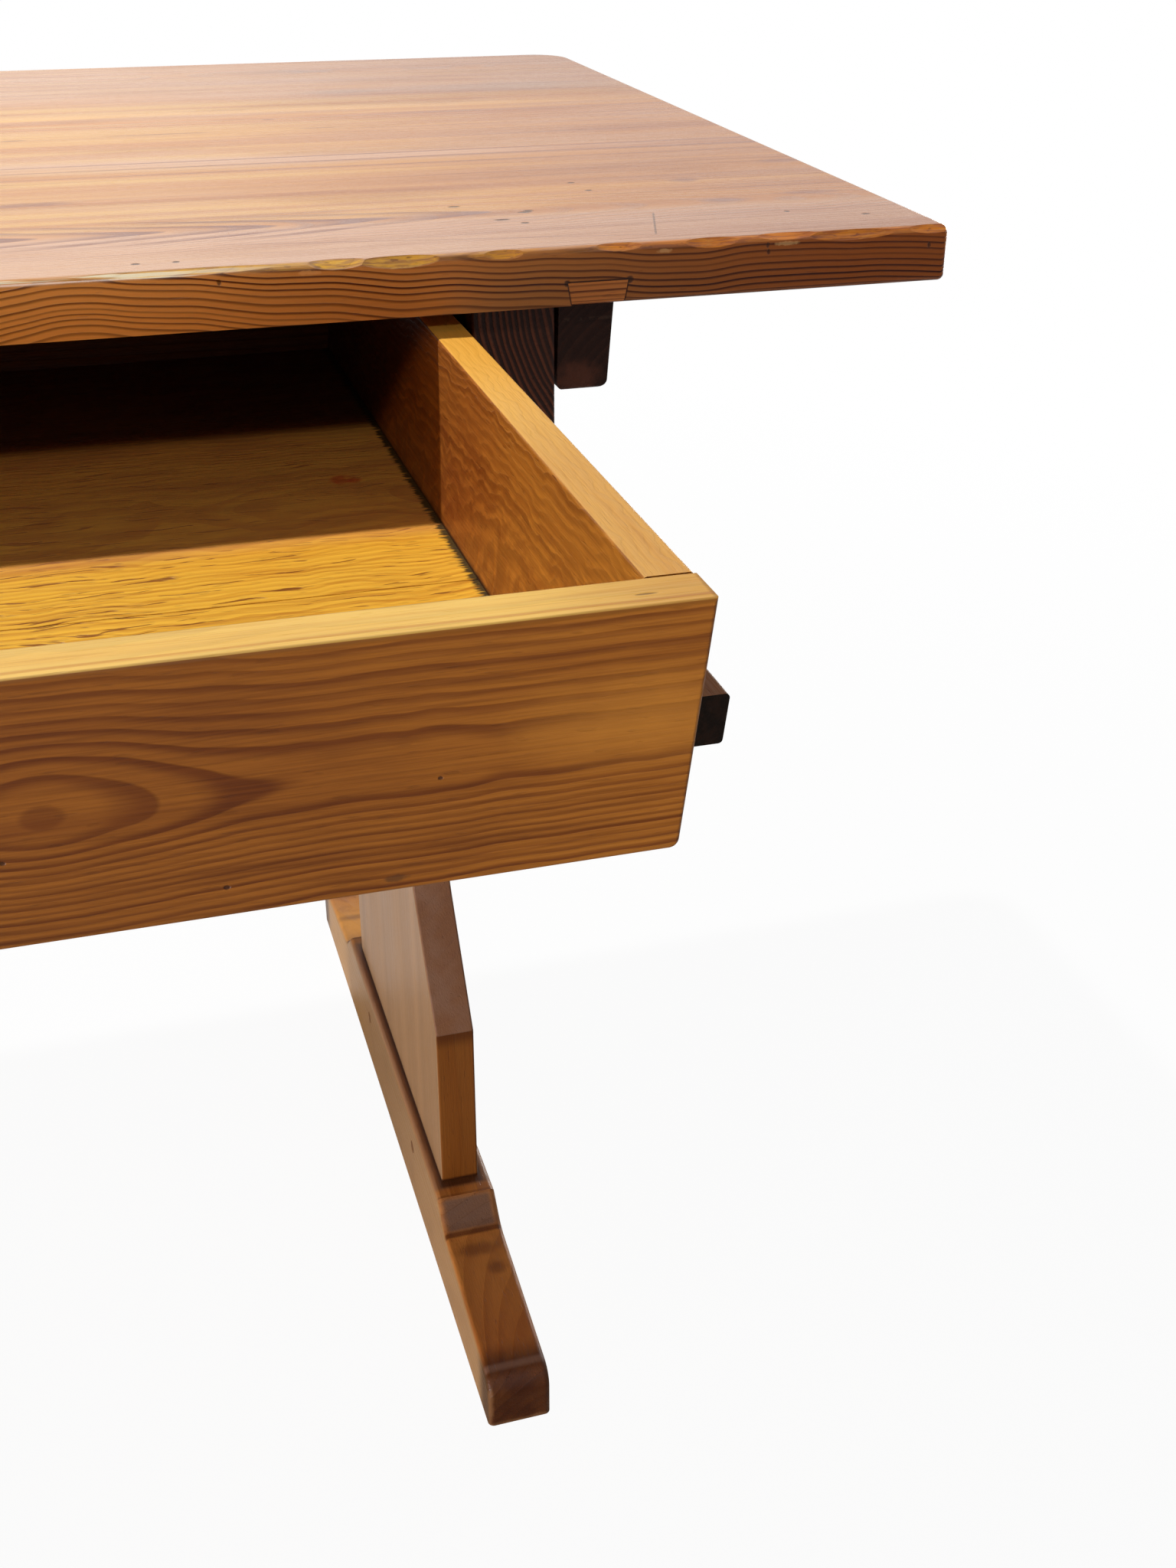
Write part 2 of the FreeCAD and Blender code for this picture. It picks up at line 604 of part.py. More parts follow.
def drawer_front_board():
    """Front with canted ends, the floor's groove and the knob's hole, before its joints are cut."""
    body = in_drawer("drawer_front_board")
    nodes.remove(body)
    rim_x = "place.drawer_half"
    low_x = "(place.drawer_half - size.cant_in)"
    face = new_sketch(body, "front_face", "XZ_Plane")
    outline(face, ((f"-{low_x}", "0"), (low_x, "0"), (rim_x, "size.front_height"),
                   (f"-{rim_x}", "size.front_height")))
    pad(body, face, "size.front_thick", reverse=True)
    groove = new_sketch(body, "front_groove", "YZ_Plane")
    rectangle(groove, "size.front_thick - size.floor_let_in - size.joint_fit",
              "size.front_thick + 1", "size.floor_lift", "place.floor_top")
    pocket(body, groove)
    hole = new_sketch(body, "front_knob_hole", "XZ_Plane")
    circle(hole, "0", "size.front_height / 2", "size.knob_tenon / 2")
    pocket(body, hole)
    low_edge = value(low_x)
    dress(body, "Fillet", "front_corners", "size.front_round",
          lambda p: near(abs(p.x), low_edge) and near(p.z, 0), along="y")
    high_z = value("size.front_height")
    dress(body, "Fillet", "front_arris", "size.soft_arris",
          lambda p: near(p.z, high_z) or (near(p.y, 0) and near(p.z, 0)), along="x")
    return body


def drawer_side(label, side):
    """Leaning side whose ends are dovetails, three to the front and three to the back."""
    body = in_drawer(label)
    section = new_sketch(body, label + "_section", "XZ_Plane")
    rim_x, low_x = "place.drawer_half", "place.side_low_x"
    outline(section, (
        (f"{side} * {low_x}", "place.floor_top"),
        (f"{side} * {rim_x}", "size.front_height"),
        (f"{side} * ({rim_x} - size.side_thick)", "size.front_height"),
        (f"{side} * ({low_x} - size.side_thick)", "place.floor_top")))
    section.setExpression("AttachmentOffset.Base.z", "-(size.front_thick - size.tail_lap)")
    pad(body, section, "size.drawer_length - (size.front_thick - size.tail_lap)", reverse=True)
    rim_z = value("size.front_height")
    dress(body, "Fillet", label + "_arris", "size.soft_arris", lambda p: near(p.z, rim_z), along="y")
    tips = (("size.front_thick - size.tail_lap", "size.front_thick"),
            ("size.drawer_length", "place.back_y"))
    for end, (tip_y, root_y) in zip(("front", "back"), tips):
        waste = new_sketch(body, f"{label}_{end}_pins", "YZ_Plane")
        for gap in range(4):
            middle = f"(place.floor_top + {gap} * place.tail_pitch)"
            below = "0" if gap == 0 else "1"
            above = "0" if gap == 3 else "1"
            outline(waste, (
                (tip_y, f"{middle} - {below} * size.pin_narrow / 2"),
                (root_y, f"{middle} - {below} * size.pin_wide / 2"),
                (root_y, f"{middle} + {above} * size.pin_wide / 2"),
                (tip_y, f"{middle} + {above} * size.pin_narrow / 2")))
        pocket(body, waste)
    return body


def drawer_back_board():
    """Back board over its whole width, before its joints are cut."""
    body = in_drawer("drawer_back_board")
    nodes.remove(body)
    face = new_sketch(body, "back_face", "XZ_Plane", "-place.back_y")
    high = "(size.front_height - size.back_lower)"
    high_x = "(place.drawer_half - place.cant * size.back_lower)"
    outline(face, (("-place.side_low_x", "place.floor_top"), ("place.side_low_x", "place.floor_top"),
                   (high_x, high), (f"-{high_x}", high)))
    pad(body, face, "size.back_thick", reverse=True)
    top_z = value(high)
    dress(body, "Fillet", "back_arris", "size.soft_arris", lambda p: near(p.z, top_z), along="x")
    return body


def cut_joints(label, board, sides):
    """Cut the sides' dovetails out of a board, which leaves the pins standing."""
    for number, side in enumerate(sides, start=1):
        cut = doc.addObject("Part::Cut", f"{label}_joint_{number}")
        cut.Base = board
        cut.Tool = side
        board = cut
    board.Label = label
    nodes.append(board)


def floor_board(label, number):
    """One of three floor boards, grain along X, the first let into the front."""
    body = in_drawer(label)
    start = f"(size.front_thick - size.floor_let_in + {number} * place.floor_run)"
    gap = "0" if number == 2 else "size.floor_joint"
    plan = new_sketch(body, label + "_plan", "XY_Plane", "size.floor_lift")
    rectangle(plan, "-place.floor_half", "place.floor_half", start,
              f"{start} + place.floor_run - {gap}")
    pad(body, plan, "size.floor_thick")


def drawer_runner(label, side):
    """Strip on the drawer's side that slides in the groove of the head rail."""
    body = in_drawer(label)
    section = new_sketch(body, label + "_section", "XZ_Plane", "-size.front_thick")
    outline(section, (
        (f"{side} * place.runner_low_x", "place.runner_bottom"),
        (f"{side} * (place.runner_low_x + size.runner_width)", "place.runner_bottom"),
        (f"{side} * (place.runner_top_x + size.runner_width)", "place.runner_top"),
        (f"{side} * place.runner_top_x", "place.runner_top")))
    pad(body, section, "size.drawer_length - size.front_thick", reverse=True)
    outer_x = value("place.runner_low_x + size.runner_width")
    dress(body, "Fillet", label + "_arris", "size.soft_arris",
          lambda p: abs(p.x) > outer_x - 0.01, along="y")


def drawer_knob():
    """Turned knob: tenon through the front, slim neck and round head."""
    body = in_drawer("drawer_knob")
    profile = new_sketch(body, "knob_profile", "XY_Plane")
    neck = "size.knob_neck / 2"
    wide = "size.knob_width / 2"
    head = "(size.knob_head - size.knob_out)"
    outline(profile, (
        ("0", "-size.knob_out"), (f"{wide} * 0.6", "-size.knob_out"),
        (wide, f"{head} - size.knob_head * 0.45"), (f"{wide} * 0.86", f"{head} - 2"),
        (neck, head), (neck, "-2.5"), (f"{neck} + 3", "0"),
        ("size.knob_tenon / 2 - size.joint_fit", "0"),
        ("size.knob_tenon / 2 - size.joint_fit", "size.front_thick"), ("0", "size.front_thick")))
    turned = body.newObject("PartDesign::Revolution", "knob_turned")
    turned.Profile = profile
    turned.ReferenceAxis = (profile, ["V_Axis"])
    turned.Angle = 360
    doc.recompute()
    body.setExpression("Placement.Base.z", "place.drawer_z + size.front_height / 2")
    doc.recompute()


# ---- build -----------------------------------------------------------------------------------

front = top_board("top_board_front", "0", "size.front_board", "0", "size.front_corner")
for number, spot in enumerate(CHIPS, start=1):
    chip(front, number, *spot)
top_board("top_board_middle", "size.front_board", "size.middle_board")
top_board("top_board_back", "size.front_board + size.middle_board", "place.back_board",
          "place.back_board", "size.back_corner")
for side_name, side in SIDES:
    batten("batten_" + side_name, side)
    for end_name, is_back in (("front", False), ("back", True)):
        slot_plug(f"slot_plug_{end_name}_{side_name}", side, is_back)
    head_rail("head_rail_" + side_name, side)
    upright("upright_" + side_name, side)
    foot("foot_" + side_name, side)
    tusk("tusk_" + side_name, side)
stretcher()

BOTH_WAYS = (-1, 1)
inner_rail_face = "place.trestle_x - size.rail_thick / 2"
peg_group("rail_pegs", [(f"place.centre_y + {way} * place.peg_y", "place.rail_peg_z")
                        for way in BOTH_WAYS],
          "size.rail_thick + size.peg_proud", inner_rail_face)
peg_group("foot_pegs", [(f"place.centre_y + {way} * place.peg_y", "place.foot_peg_z")
                        for way in BOTH_WAYS],
          "size.foot_thick + size.peg_proud", "place.upright_x - size.foot_thick / 2")
peg_group("batten_pegs", [(f"place.centre_y + {way} * place.batten_peg_y",
                           "place.under_z - size.batten_drop / 2") for way in BOTH_WAYS],
          "size.batten_peg_depth + size.batten_gap + size.batten_thick + size.peg_proud",
          "place.trestle_x + size.rail_thick / 2 - size.batten_peg_depth")

front_board = drawer_front_board()
back_board = drawer_back_board()
side_boards = [drawer_side("drawer_side_" + side_name, side) for side_name, side in SIDES]
cut_joints("drawer_front", front_board, side_boards)
cut_joints("drawer_back", back_board, side_boards)
for number, part_name in enumerate(("front", "middle", "back")):
    floor_board("drawer_floor_" + part_name, number)
for side_name, side in SIDES:
    drawer_runner("drawer_runner_" + side_name, side)
drawer_knob()
doc.recompute()

# ---- checks and export -----------------------------------------------------------------------

for thing in doc.Objects:
    if "Invalid" in thing.State or "Error" in thing.State:
        raise RuntimeError(f"{thing.Label} is in state {thing.State}")
for node in nodes:
    if node.Shape.isNull() or not node.Shape.isValid():
        raise RuntimeError(f"{node.Label} has no sound shape")

os.makedirs("parts", exist_ok=True)
for node in nodes:
    node.Shape.exportStep(f"parts/{node.Label}.step")
    print(f"{node.Label}: {len(node.Shape.Solids)} solid(s), {node.Shape.Volume / 1000:.1f} cm3")
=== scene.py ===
"""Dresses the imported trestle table: pine finishes with their wear, floor, lamps and camera."""

from math import radians

import bpy
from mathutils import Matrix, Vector


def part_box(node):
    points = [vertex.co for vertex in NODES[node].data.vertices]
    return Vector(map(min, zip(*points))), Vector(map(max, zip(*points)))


bl_info = {
    "name": "Trestle Table Dresser",
    "version": (1, 2, 0),
    "blender": (4, 5, 0),
    "location": "View3D > Sidebar > Table",
    "description": "Finishes for a pine trestle table with a drawer",
    "category": "Object",
}

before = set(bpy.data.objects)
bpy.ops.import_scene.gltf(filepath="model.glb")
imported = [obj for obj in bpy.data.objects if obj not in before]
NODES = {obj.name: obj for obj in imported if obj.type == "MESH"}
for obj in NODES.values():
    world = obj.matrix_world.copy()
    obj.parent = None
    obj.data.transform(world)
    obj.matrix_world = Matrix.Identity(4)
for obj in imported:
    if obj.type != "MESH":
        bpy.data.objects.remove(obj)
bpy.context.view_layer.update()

AXES = "XYZ"
SIDES = (("right", 1), ("left", -1))
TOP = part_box("top_board_front")[1].z
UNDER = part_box("top_board_front")[0].z
TOP_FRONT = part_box("top_board_front")[0].y
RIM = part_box("drawer_front")[1].z
DRAWER_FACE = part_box("drawer_front")[0].y
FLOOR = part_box("drawer_floor_front")[1].z
INSIDE_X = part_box("drawer_side_right")[0].x
# How far the drawer's sides lean outwards for each metre up, and the radius of the top's arris.
CANT = 0.1198
ARRIS = 0.0035
# The polish on worn wood: its roughness, and its index of refraction.
POLISH_ROUGHNESS = 0.32
POLISH_IOR = 1.9


# ---- sockets as values -----------------------------------------------------------------------

class Wire:
    """A socket as a value; arithmetic on one that carries a number adds Math nodes."""

    def __init__(self, tree, socket):
        self.tree = tree
        self.socket = socket

    def __add__(self, other):
        return self.tree.maths("ADD", self, other)

    def __radd__(self, other):
        return self.tree.maths("ADD", other, self)

    def __sub__(self, other):
        return self.tree.maths("SUBTRACT", self, other)

    def __rsub__(self, other):
        return self.tree.maths("SUBTRACT", other, self)

    def __mul__(self, other):
        return self.tree.maths("MULTIPLY", self, other)

    def __rmul__(self, other):
        return self.tree.maths("MULTIPLY", other, self)

    def __truediv__(self, other):
        return self.tree.maths("DIVIDE", self, other)

    def __rtruediv__(self, other):
        return self.tree.maths("DIVIDE", other, self)

    def __abs__(self):
        return self.tree.maths("ABSOLUTE", self)


def rgb(colour):
    """A colour as a socket takes it: a wire stays, three numbers get an alpha of 1."""
    return colour if isinstance(colour, Wire) else (*colour, 1.0)


def shade(colour, factor):
    """A lighter or darker kind of a colour."""
    return tuple(min(part * factor, 1.0) for part in colour)


class Tree:
    """The node tree of a material or of the world, emptied to be filled again."""

    # Places of a colour Mix node's sockets; their names repeat for every kind of value.
    MIX_FIRST = 6
    MIX_SECOND = 7
    MIX_RESULT = 2

    def __init__(self, owner):
        owner.use_nodes = True
        self.owner = owner
        self.nodes = owner.node_tree.nodes
        self.links = owner.node_tree.links
        self.nodes.clear()

    def node(self, kind, settings=None, inputs=(), output=0):
        """Add a node: its settings, then its inputs by place or by name; gives one output."""
        made = self.nodes.new(kind)
        for name, setting in (settings or {}).items():
            setattr(made, name, setting)
        pairs = inputs.items() if isinstance(inputs, dict) else enumerate(inputs)
        for key, given in pairs:
            if isinstance(given, Wire):
                self.links.new(given.socket, made.inputs[key])
            else:
                made.inputs[key].default_value = given
        return Wire(self, made.outputs[output]) if made.outputs else None

    # numbers

    def maths(self, operation, *inputs):
        return self.node("ShaderNodeMath", {"operation": operation}, inputs)

    def least(self, a, b):
        return self.maths("MINIMUM", a, b)

    def most(self, a, b):
        return self.maths("MAXIMUM", a, b)

    def root(self, a):
        return self.maths("SQRT", a)

    def part(self, a):
        """What is left of a number above the whole number below it."""
        return self.maths("FRACT", a)

    def whole(self, a):
        return self.maths("FLOOR", a)

    def ramp(self, a, start, end, low=0.0, high=1.0):
        """Smooth step from low at start to high at end."""
        return self.node("ShaderNodeMapRange", {"interpolation_type": "SMOOTHSTEP"},
                         (a, start, end, low, high))

    def fall(self, a, start, end, high=1.0):
        """Smooth step from high at start down to 0 at end."""
        return self.ramp(a, start, end, high, 0.0)

    def near(self, a, core, edge):
        """1 where a number is within core of 0, fading to 0 at edge."""
        return self.fall(abs(a), core, edge)

    # colours

    def blend(self, share, first, second, kind="MIX"):
        """Mix two colours by a share of the second."""
        return self.node("ShaderNodeMix", {"data_type": "RGBA", "blend_type": kind},
                         {0: share, self.MIX_FIRST: rgb(first), self.MIX_SECOND: rgb(second)},
                         self.MIX_RESULT)

    def times(self, share, first, second):
        """Multiply a colour by another one, by a share."""
        return self.blend(share, first, second, "MULTIPLY")

    # vectors

    def place(self):
        """Where a point of the surface is at rest, in metres."""
        return self.node("ShaderNodeTexCoord", output="Object")

    def facing(self):
        """Which way the surface faces."""
        return self.node("ShaderNodeNewGeometry", output="Normal")

    def split(self, vector):
        """The three numbers of a vector."""
        first = self.node("ShaderNodeSeparateXYZ", inputs=(vector,))
        return [Wire(self, socket) for socket in first.socket.node.outputs]

    def vector(self, x, y, z):
        return self.node("ShaderNodeCombineXYZ", inputs=(x, y, z))

    def noise(self, vector, detail=2.0, roughness=0.5):
        """Soft noise from 0 to 1, whose blots are about one unit of the vector wide."""
        return self.node("ShaderNodeTexNoise", {"noise_dimensions": "3D"},
                         {"Vector": vector, "Scale": 1.0, "Detail": detail,
                          "Roughness": roughness})

    def lone_noise(self, number, scale=1.0):
        """Noise that changes along one number only."""
        return self.node("ShaderNodeTexNoise", {"noise_dimensions": "1D"},
                         {"W": number, "Scale": scale, "Detail": 1.0})


# ---- pine ------------------------------------------------------------------------------------

class Board:
    """How one board was sawn: grain direction, where the heart of the tree lies, ring width.

    heart is the heart's place from the board's middle, on the two axes across the grain. tilt
    moves it along the board, and swell (axis, place, size, spread) brings it nearer about one
    place, which draws a flame. crowd (axis, start, end, rings) packs more rings in between two
    places. wander is how far the heart strays, and waves (of wave_length) ripple the rings.
    uneven varies their width, and late says where in a ring the dark wood starts and is full.
    lean is how far the board leans along X for each metre up.
    """

    def __init__(self, node, grain, heart=(0.0, -0.06), ring=0.0045, tilt=(0.0, 0.0),
                 swell=None, crowd=None, wander=0.006, waves=0.0, wave_length=0.03, uneven=2.4,
                 late=(0.28, 0.86), seed=0.0, lean=0.0):
        self.node = node
        self.grain = grain
        self.heart = heart
        self.ring = ring
        self.tilt = tilt
        self.swell = swell
        self.crowd = crowd
        self.wander = wander
        self.waves = waves
        self.wave_length = wave_length
        self.uneven = uneven
        self.late = late
        self.seed = seed
        self.lean = lean
        self.low, self.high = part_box(node)
        self.middle = (self.low + self.high) / 2
        self.half = (self.high - self.low) / 2


class Grain:
    """Pine figure on one board: growth rings about the heart, fibres, pores and mottling."""

    def __init__(self, tree, board):
        self.tree = tree
        self.board = board
        self.x, self.y, self.z = tree.split(tree.place())
        along, across, up = self._turned()
        self._rings(along, across, up)
        self._fibres(along, across, up)

    def _turned(self):
        """The point seen from the board: along the grain and the two ways across it."""
        board = self.board
        local = [self.x - board.middle.x, self.y - board.middle.y, self.z - board.middle.z]
        if board.lean:
            local[0] = local[0] - board.lean * (self.z - board.middle.z)
        grain = AXES.index(board.grain)
        others = [axis for axis in range(3) if axis != grain]
        self.local = local
        return local[grain], local[others[0]], local[others[1]]

    def _from_heart(self, along, across, up):
        """How far the point is from the tree's heart, which strays and swells."""
        tree, board = self.tree, self.board
        squares = []
        for number, own in enumerate((across, up)):
            seed = board.seed + 9.1 * number
            here = tree.vector(along * 2.2 + seed, across * 9.0, up * 9.0 + seed)
            stray = (tree.noise(here) - 0.5) * (board.wander * 3.0)
            away = own - board.heart[number] + stray + along * board.tilt[number]
            if board.swell and board.swell[0] == number:
                _, place, size, spread = board.swell
                far = (along - place) * (1.0 / spread)
                bulge = 1.0 / (far * far + 1.0)
                away = away + bulge * bulge * size
            squares.append(away * away)
        return tree.root(squares[0] + squares[1])

    def _rings(self, along, across, up):
        """Dark late wood, darker in some rings than in others."""
        tree, board = self.tree, self.board
        radius = self._from_heart(along, across, up)
        if board.waves:
            ripple = tree.vector(along * (1.0 / board.wave_length) + board.seed,
                                 across * (0.5 / board.wave_length),
                                 up * (0.5 / board.wave_length))
            radius = radius + (tree.noise(ripple) - 0.5) * (board.waves * 2.0)
        count = radius * (1.0 / board.ring) \
            + tree.lone_noise(radius + board.seed, 0.12 / board.ring) * board.uneven
        if board.crowd:
            number, start, end, rings = board.crowd
            count = count + tree.ramp((across, up)[number], start, end, 0.0, rings)
        fraction = tree.part(count)
        start, full = board.late
        rise = tree.ramp(fraction, start, full)
        drop = tree.fall(fraction, (full + 1.0) / 2, 1.0)
        vigour = tree.node("ShaderNodeTexWhiteNoise", {"noise_dimensions": "1D"},
                           {"W": tree.whole(count) + board.seed})
        self.late = rise * drop * (vigour * 0.55 + 0.45)

    def _fibres(self, along, across, up):
        """Fine threads, wider streaks, short resin dashes and soft clouds."""
        tree, seed = self.tree, self.board.seed
        threads = tree.vector(along * 26.0 + seed, across * 900.0, up * 900.0)
        self.fibre = tree.noise(threads, detail=3.0, roughness=0.6)
        streaks = tree.vector(along * 5.0 + seed, across * 130.0, up * 130.0)
        self.streak = tree.noise(streaks, detail=3.0)
        dashes = tree.vector(along * 95.0 + seed, across * 750.0, up * 750.0)
        self.dash = tree.ramp(tree.noise(dashes, detail=1.0), 0.66, 0.76)
        cloud = tree.vector(along * 6.0 + seed, across * 16.0, up * 16.0)
        self.cloud = tree.noise(cloud, detail=3.0)

    def to_edge(self):
        """How far a point of a squared board is from its nearest arris, in metres."""
        tree, half = self.tree, self.board.half
        lean = abs(self.board.lean) * half.z
        halves = (half.x - lean, half.y, half.z)
        gaps = [number - abs(part) for number, part in zip(halves, self.local)]
        least_two = tree.least(gaps[0], gaps[1])
        most_two = tree.most(gaps[0], gaps[1])
        return tree.most(least_two, tree.least(most_two, gaps[2]))


class Skin:
    """The finish of one board as it is built up: colour, roughness and relief."""

    def __init__(self, board, early, late, fibre=0.16, mottle=0.22, dashes=0.25, roughness=0.45,
                 end_shade=0.5, contrast=1.0):
        tree = self.tree = Tree(bpy.data.materials.new("pine_" + board.node))
        grain = self.grain = Grain(tree, board)
        self.board = board
        self.normal = tree.split(tree.facing())
        self.up = self.normal[2]
        self.body = tree.blend(grain.late * contrast, early, late)
        self.tint(tree.ramp(grain.cloud, 0.3, 0.75) * mottle, (0.62, 0.5, 0.42))
        thread = tree.ramp(grain.fibre, 0.35, 0.7)
        self.tint(thread * fibre, (0.45, 0.36, 0.3))
        self.tint(tree.ramp(grain.streak, 0.4, 0.8) * (fibre * 0.9), (0.55, 0.42, 0.34))
        self.tint(grain.dash * dashes, (0.25, 0.16, 0.1))
        self.cross_cut = tree.ramp(abs(self.normal[AXES.index(board.grain)]), 0.6, 0.85)
        self.tint(self.cross_cut * end_shade, (0.35, 0.3, 0.26))
        self.rough = grain.cloud * 0.16 + (roughness - 0.08) - grain.late * 0.07 + thread * 0.05
        self.height = grain.late * 0.45 - grain.dash * 0.5 - thread * 0.25 + grain.cloud * 0.4

    # layers

    def tint(self, share, colour):
        """Multiply the colour by another one, by a share."""
        self.body = self.tree.times(share, self.body, colour)

    def cover(self, share, colour):
        """Paint another colour over it, by a share."""
        self.body = self.tree.blend(share, self.body, colour)

    def dent(self, share, amount):
        """Lower the surface, by a share."""
        self.height = self.height - share * amount

    def gloss(self, share, amount):
        """Lower the roughness, by a share."""
        self.rough = self.rough - share * amount

    # masks

    def noise(self, scales, level=0.0, detail=2.0, roughness=0.5):
        """Noise; scales say how fast it changes along X, Y and Z, and level picks a slice."""
        grain = self.grain
        here = self.tree.vector(grain.x * scales[0], grain.y * scales[1],
                                grain.z * scales[2] + level)
        return self.tree.noise(here, detail, roughness)

    def patches(self, scales, low, high, seed=0.0, detail=3.0):
        """1 in soft patches of noise; scales say how fast they change along X, Y and Z."""
        grain, tree = self.grain, self.tree
        here = tree.vector(grain.x * scales[0] + seed, grain.y * scales[1] + seed,
                           grain.z * scales[2])
        return tree.ramp(tree.noise(here, detail=detail), low, high)

    def spot(self, centre, radii, edge=0.35, ragged=0.0, scale=300.0):
        """1 inside the ellipsoid about a centre, with a soft edge that may be ragged."""
        grain, tree = self.grain, self.tree
        x, y, z = [(axis - number) * (1.0 / radius)
                   for axis, number, radius in zip((grain.x, grain.y, grain.z), centre, radii)]
        far = tree.root(x * x + y * y + z * z)
        if ragged:
            far = far + (self.noise((scale, scale, scale)) - 0.5) * ragged
        return tree.fall(far, 1.0 - edge, 1.0 + edge)

    # marks

    def hole(self, centre, radii, share=0.85, colour=(0.04, 0.012, 0.005)):
        """A small dark pit, such as a worm hole or a bruise."""
        mask = self.spot(centre, radii, ragged=0.5, scale=900.0)
        self.cover(mask * share, colour)
        self.dent(mask, 1.5)

    def wear(self, colour, width, share=0.6):
        """Rub the arrises bare: ragged, and wider in some places than in others."""
        grain = self.grain
        distance = grain.to_edge() + (grain.cloud - 0.5) * (width * 1.3) \
            + (grain.streak - 0.5) * (width * 0.8)
        self.cover(self.tree.fall(distance, width * 0.25, width) * share, colour)

    def close(self, coat=0.0, depth=0.0006, specular=0.2):
        """Join the shader, its bump and its output, and put the finish on the board."""
        tree = self.tree
        bump = tree.node("ShaderNodeBump", None,
                         {"Strength": 0.5, "Distance": depth, "Height": self.height})
        shader = tree.node("ShaderNodeBsdfPrincipled", None,
                           {"Base Color": self.body, "Roughness": self.rough, "Normal": bump,
                            "Specular IOR Level": specular, "Coat Weight": coat,
                            "Coat Roughness": POLISH_ROUGHNESS, "Coat IOR": POLISH_IOR})
        tree.node("ShaderNodeOutputMaterial", None, {"Surface": shader})
        slots = NODES[self.board.node].data.materials
        slots.clear()
        slots.append(tree.owner)


# ---- settings --------------------------------------------------------------------------------

def colour_property(name, description, default):
    return bpy.props.FloatVectorProperty(name=name, description=description, default=default,
                                         subtype="COLOR", size=3, min=0.0, max=1.0)


class TableFinish(bpy.types.PropertyGroup):
    """Colours of the woods."""

    top_peach: colour_property("Top, warm", "Warm pale wood of the top", (0.735, 0.345, 0.13))
    top_cream: colour_property("Top, cream", "Palest bands of the top", (0.85, 0.48, 0.17))
    top_mauve: colour_property("Top, worn grey", "Handled, greyed parts of the top",
                               (0.79, 0.47, 0.30))
    top_line: colour_property("Top, dark rings", "Flames and dark rings of the top",
                              (0.28, 0.11, 0.08))
    edge_early: colour_property("Edge, early wood", "Light part of the rings on the top's edges",
                                (1.0, 0.48, 0.135))
    edge_late: colour_property("Edge, late wood", "Dark part of the rings on the top's edges",
                               (0.11, 0.020, 0.004))
    chip: colour_property("Bare wood", "Fresh wood in the chips along the top's arris",
                          (1.0, 0.53, 0.06))
    drawer_early: colour_property("Drawer, early wood", "Light part of the rings on the drawer",
                                  (0.44, 0.155, 0.018))
    drawer_late: colour_property("Drawer, late wood", "Dark part of the rings on the drawer",
                                 (0.17, 0.038, 0.004))
    inside_early: colour_property("Drawer inside, early wood",
                                  "Light part of the rings inside the drawer",
                                  (0.66, 0.27, 0.035))
    inside_late: colour_property("Drawer inside, late wood",
                                 "Dark part of the rings inside the drawer",
                                 (0.26, 0.070, 0.008))
    rim: colour_property("Drawer rim", "Rubbed upper edge of the drawer", (1.0, 0.62, 0.145))
    floor_early: colour_property("Drawer floor, light", "Light part of the floor boards",
                                 (1.0, 0.54, 0.045))
    floor_late: colour_property("Drawer floor, dark", "Dark part of the floor boards",
                                (0.66, 0.26, 0.014))
    trestle_early: colour_property("Trestle, early wood", "Light part of the rings on a trestle",
                                   (0.40, 0.130, 0.020))
    trestle_late: colour_property("Trestle, late wood", "Dark part of the rings on a trestle",
                                  (0.20, 0.050, 0.006))
    # Also stands for a painted reflection of the pale floor on the uprights' broad faces.
    trestle_grey: colour_property("Trestle, handled", "Greyed broad faces of the uprights",
                                  (0.43, 0.248, 0.124))
    dark_early: colour_property("Rail, early wood", "Dark part of the rings on the rails",
                                (0.026, 0.007, 0.003))
    dark_late: colour_property("Rail, late wood", "Light part of the rings on the rails",
                               (0.21, 0.062, 0.026))
    peg: colour_property("Pegs", "Whittled pegs, wedges and knob", (0.30, 0.12, 0.035))


class TableStage(bpy.types.PropertyGroup):
    """Camera, floor and lights."""

    camera_place: bpy.props.FloatVectorProperty(
        name="Camera place", description="Where the camera stands", subtype="TRANSLATION",
        unit="LENGTH", size=3, default=(0.1781, -0.9473, 0.9371))
    camera_turn: bpy.props.FloatVectorProperty(
        name="Camera turn", description="How the camera is turned", subtype="EULER",
        size=3, default=(radians(61.12), radians(-0.376), radians(-16.918)))
    focal_length: bpy.props.FloatProperty(
        name="Focal length", description="Lens, in millimetres", default=41.04, min=10.0)
    floor_size: bpy.props.FloatProperty(
        name="Floor", description="Side of the pale floor", default=14.0, unit="LENGTH")
    key_light: bpy.props.FloatProperty(
        name="Key light", description="Lamp above and behind the table", default=86.0,
        unit="POWER")
    second_light: bpy.props.FloatProperty(
        name="Second light", description="Lamp above the front", default=11.0, unit="POWER")
    low_light: bpy.props.FloatProperty(
        name="Low light", description="Broad lamp low at the front left", default=96.0,
        unit="POWER")
    back_light: bpy.props.FloatProperty(
        name="Back light", description="Broad lamp low at the back right", default=45.0,
        unit="POWER")
    sky: bpy.props.FloatProperty(
        name="Sky", description="Even light from all sides", default=0.07, min=0.0)


# ---- the top ---------------------------------------------------------------------------------

# Row of flames on the front board: where the last one's tip is, and from one tip to the next.
FLAME_TIP = 0.400
FLAME_PITCH = 0.0547
# Dark seam lines on the front board: place along Y, and width.
SEAM_LINES = ((0.0855, 0.0013), (0.1015, 0.0013), (0.0655, 0.0008))
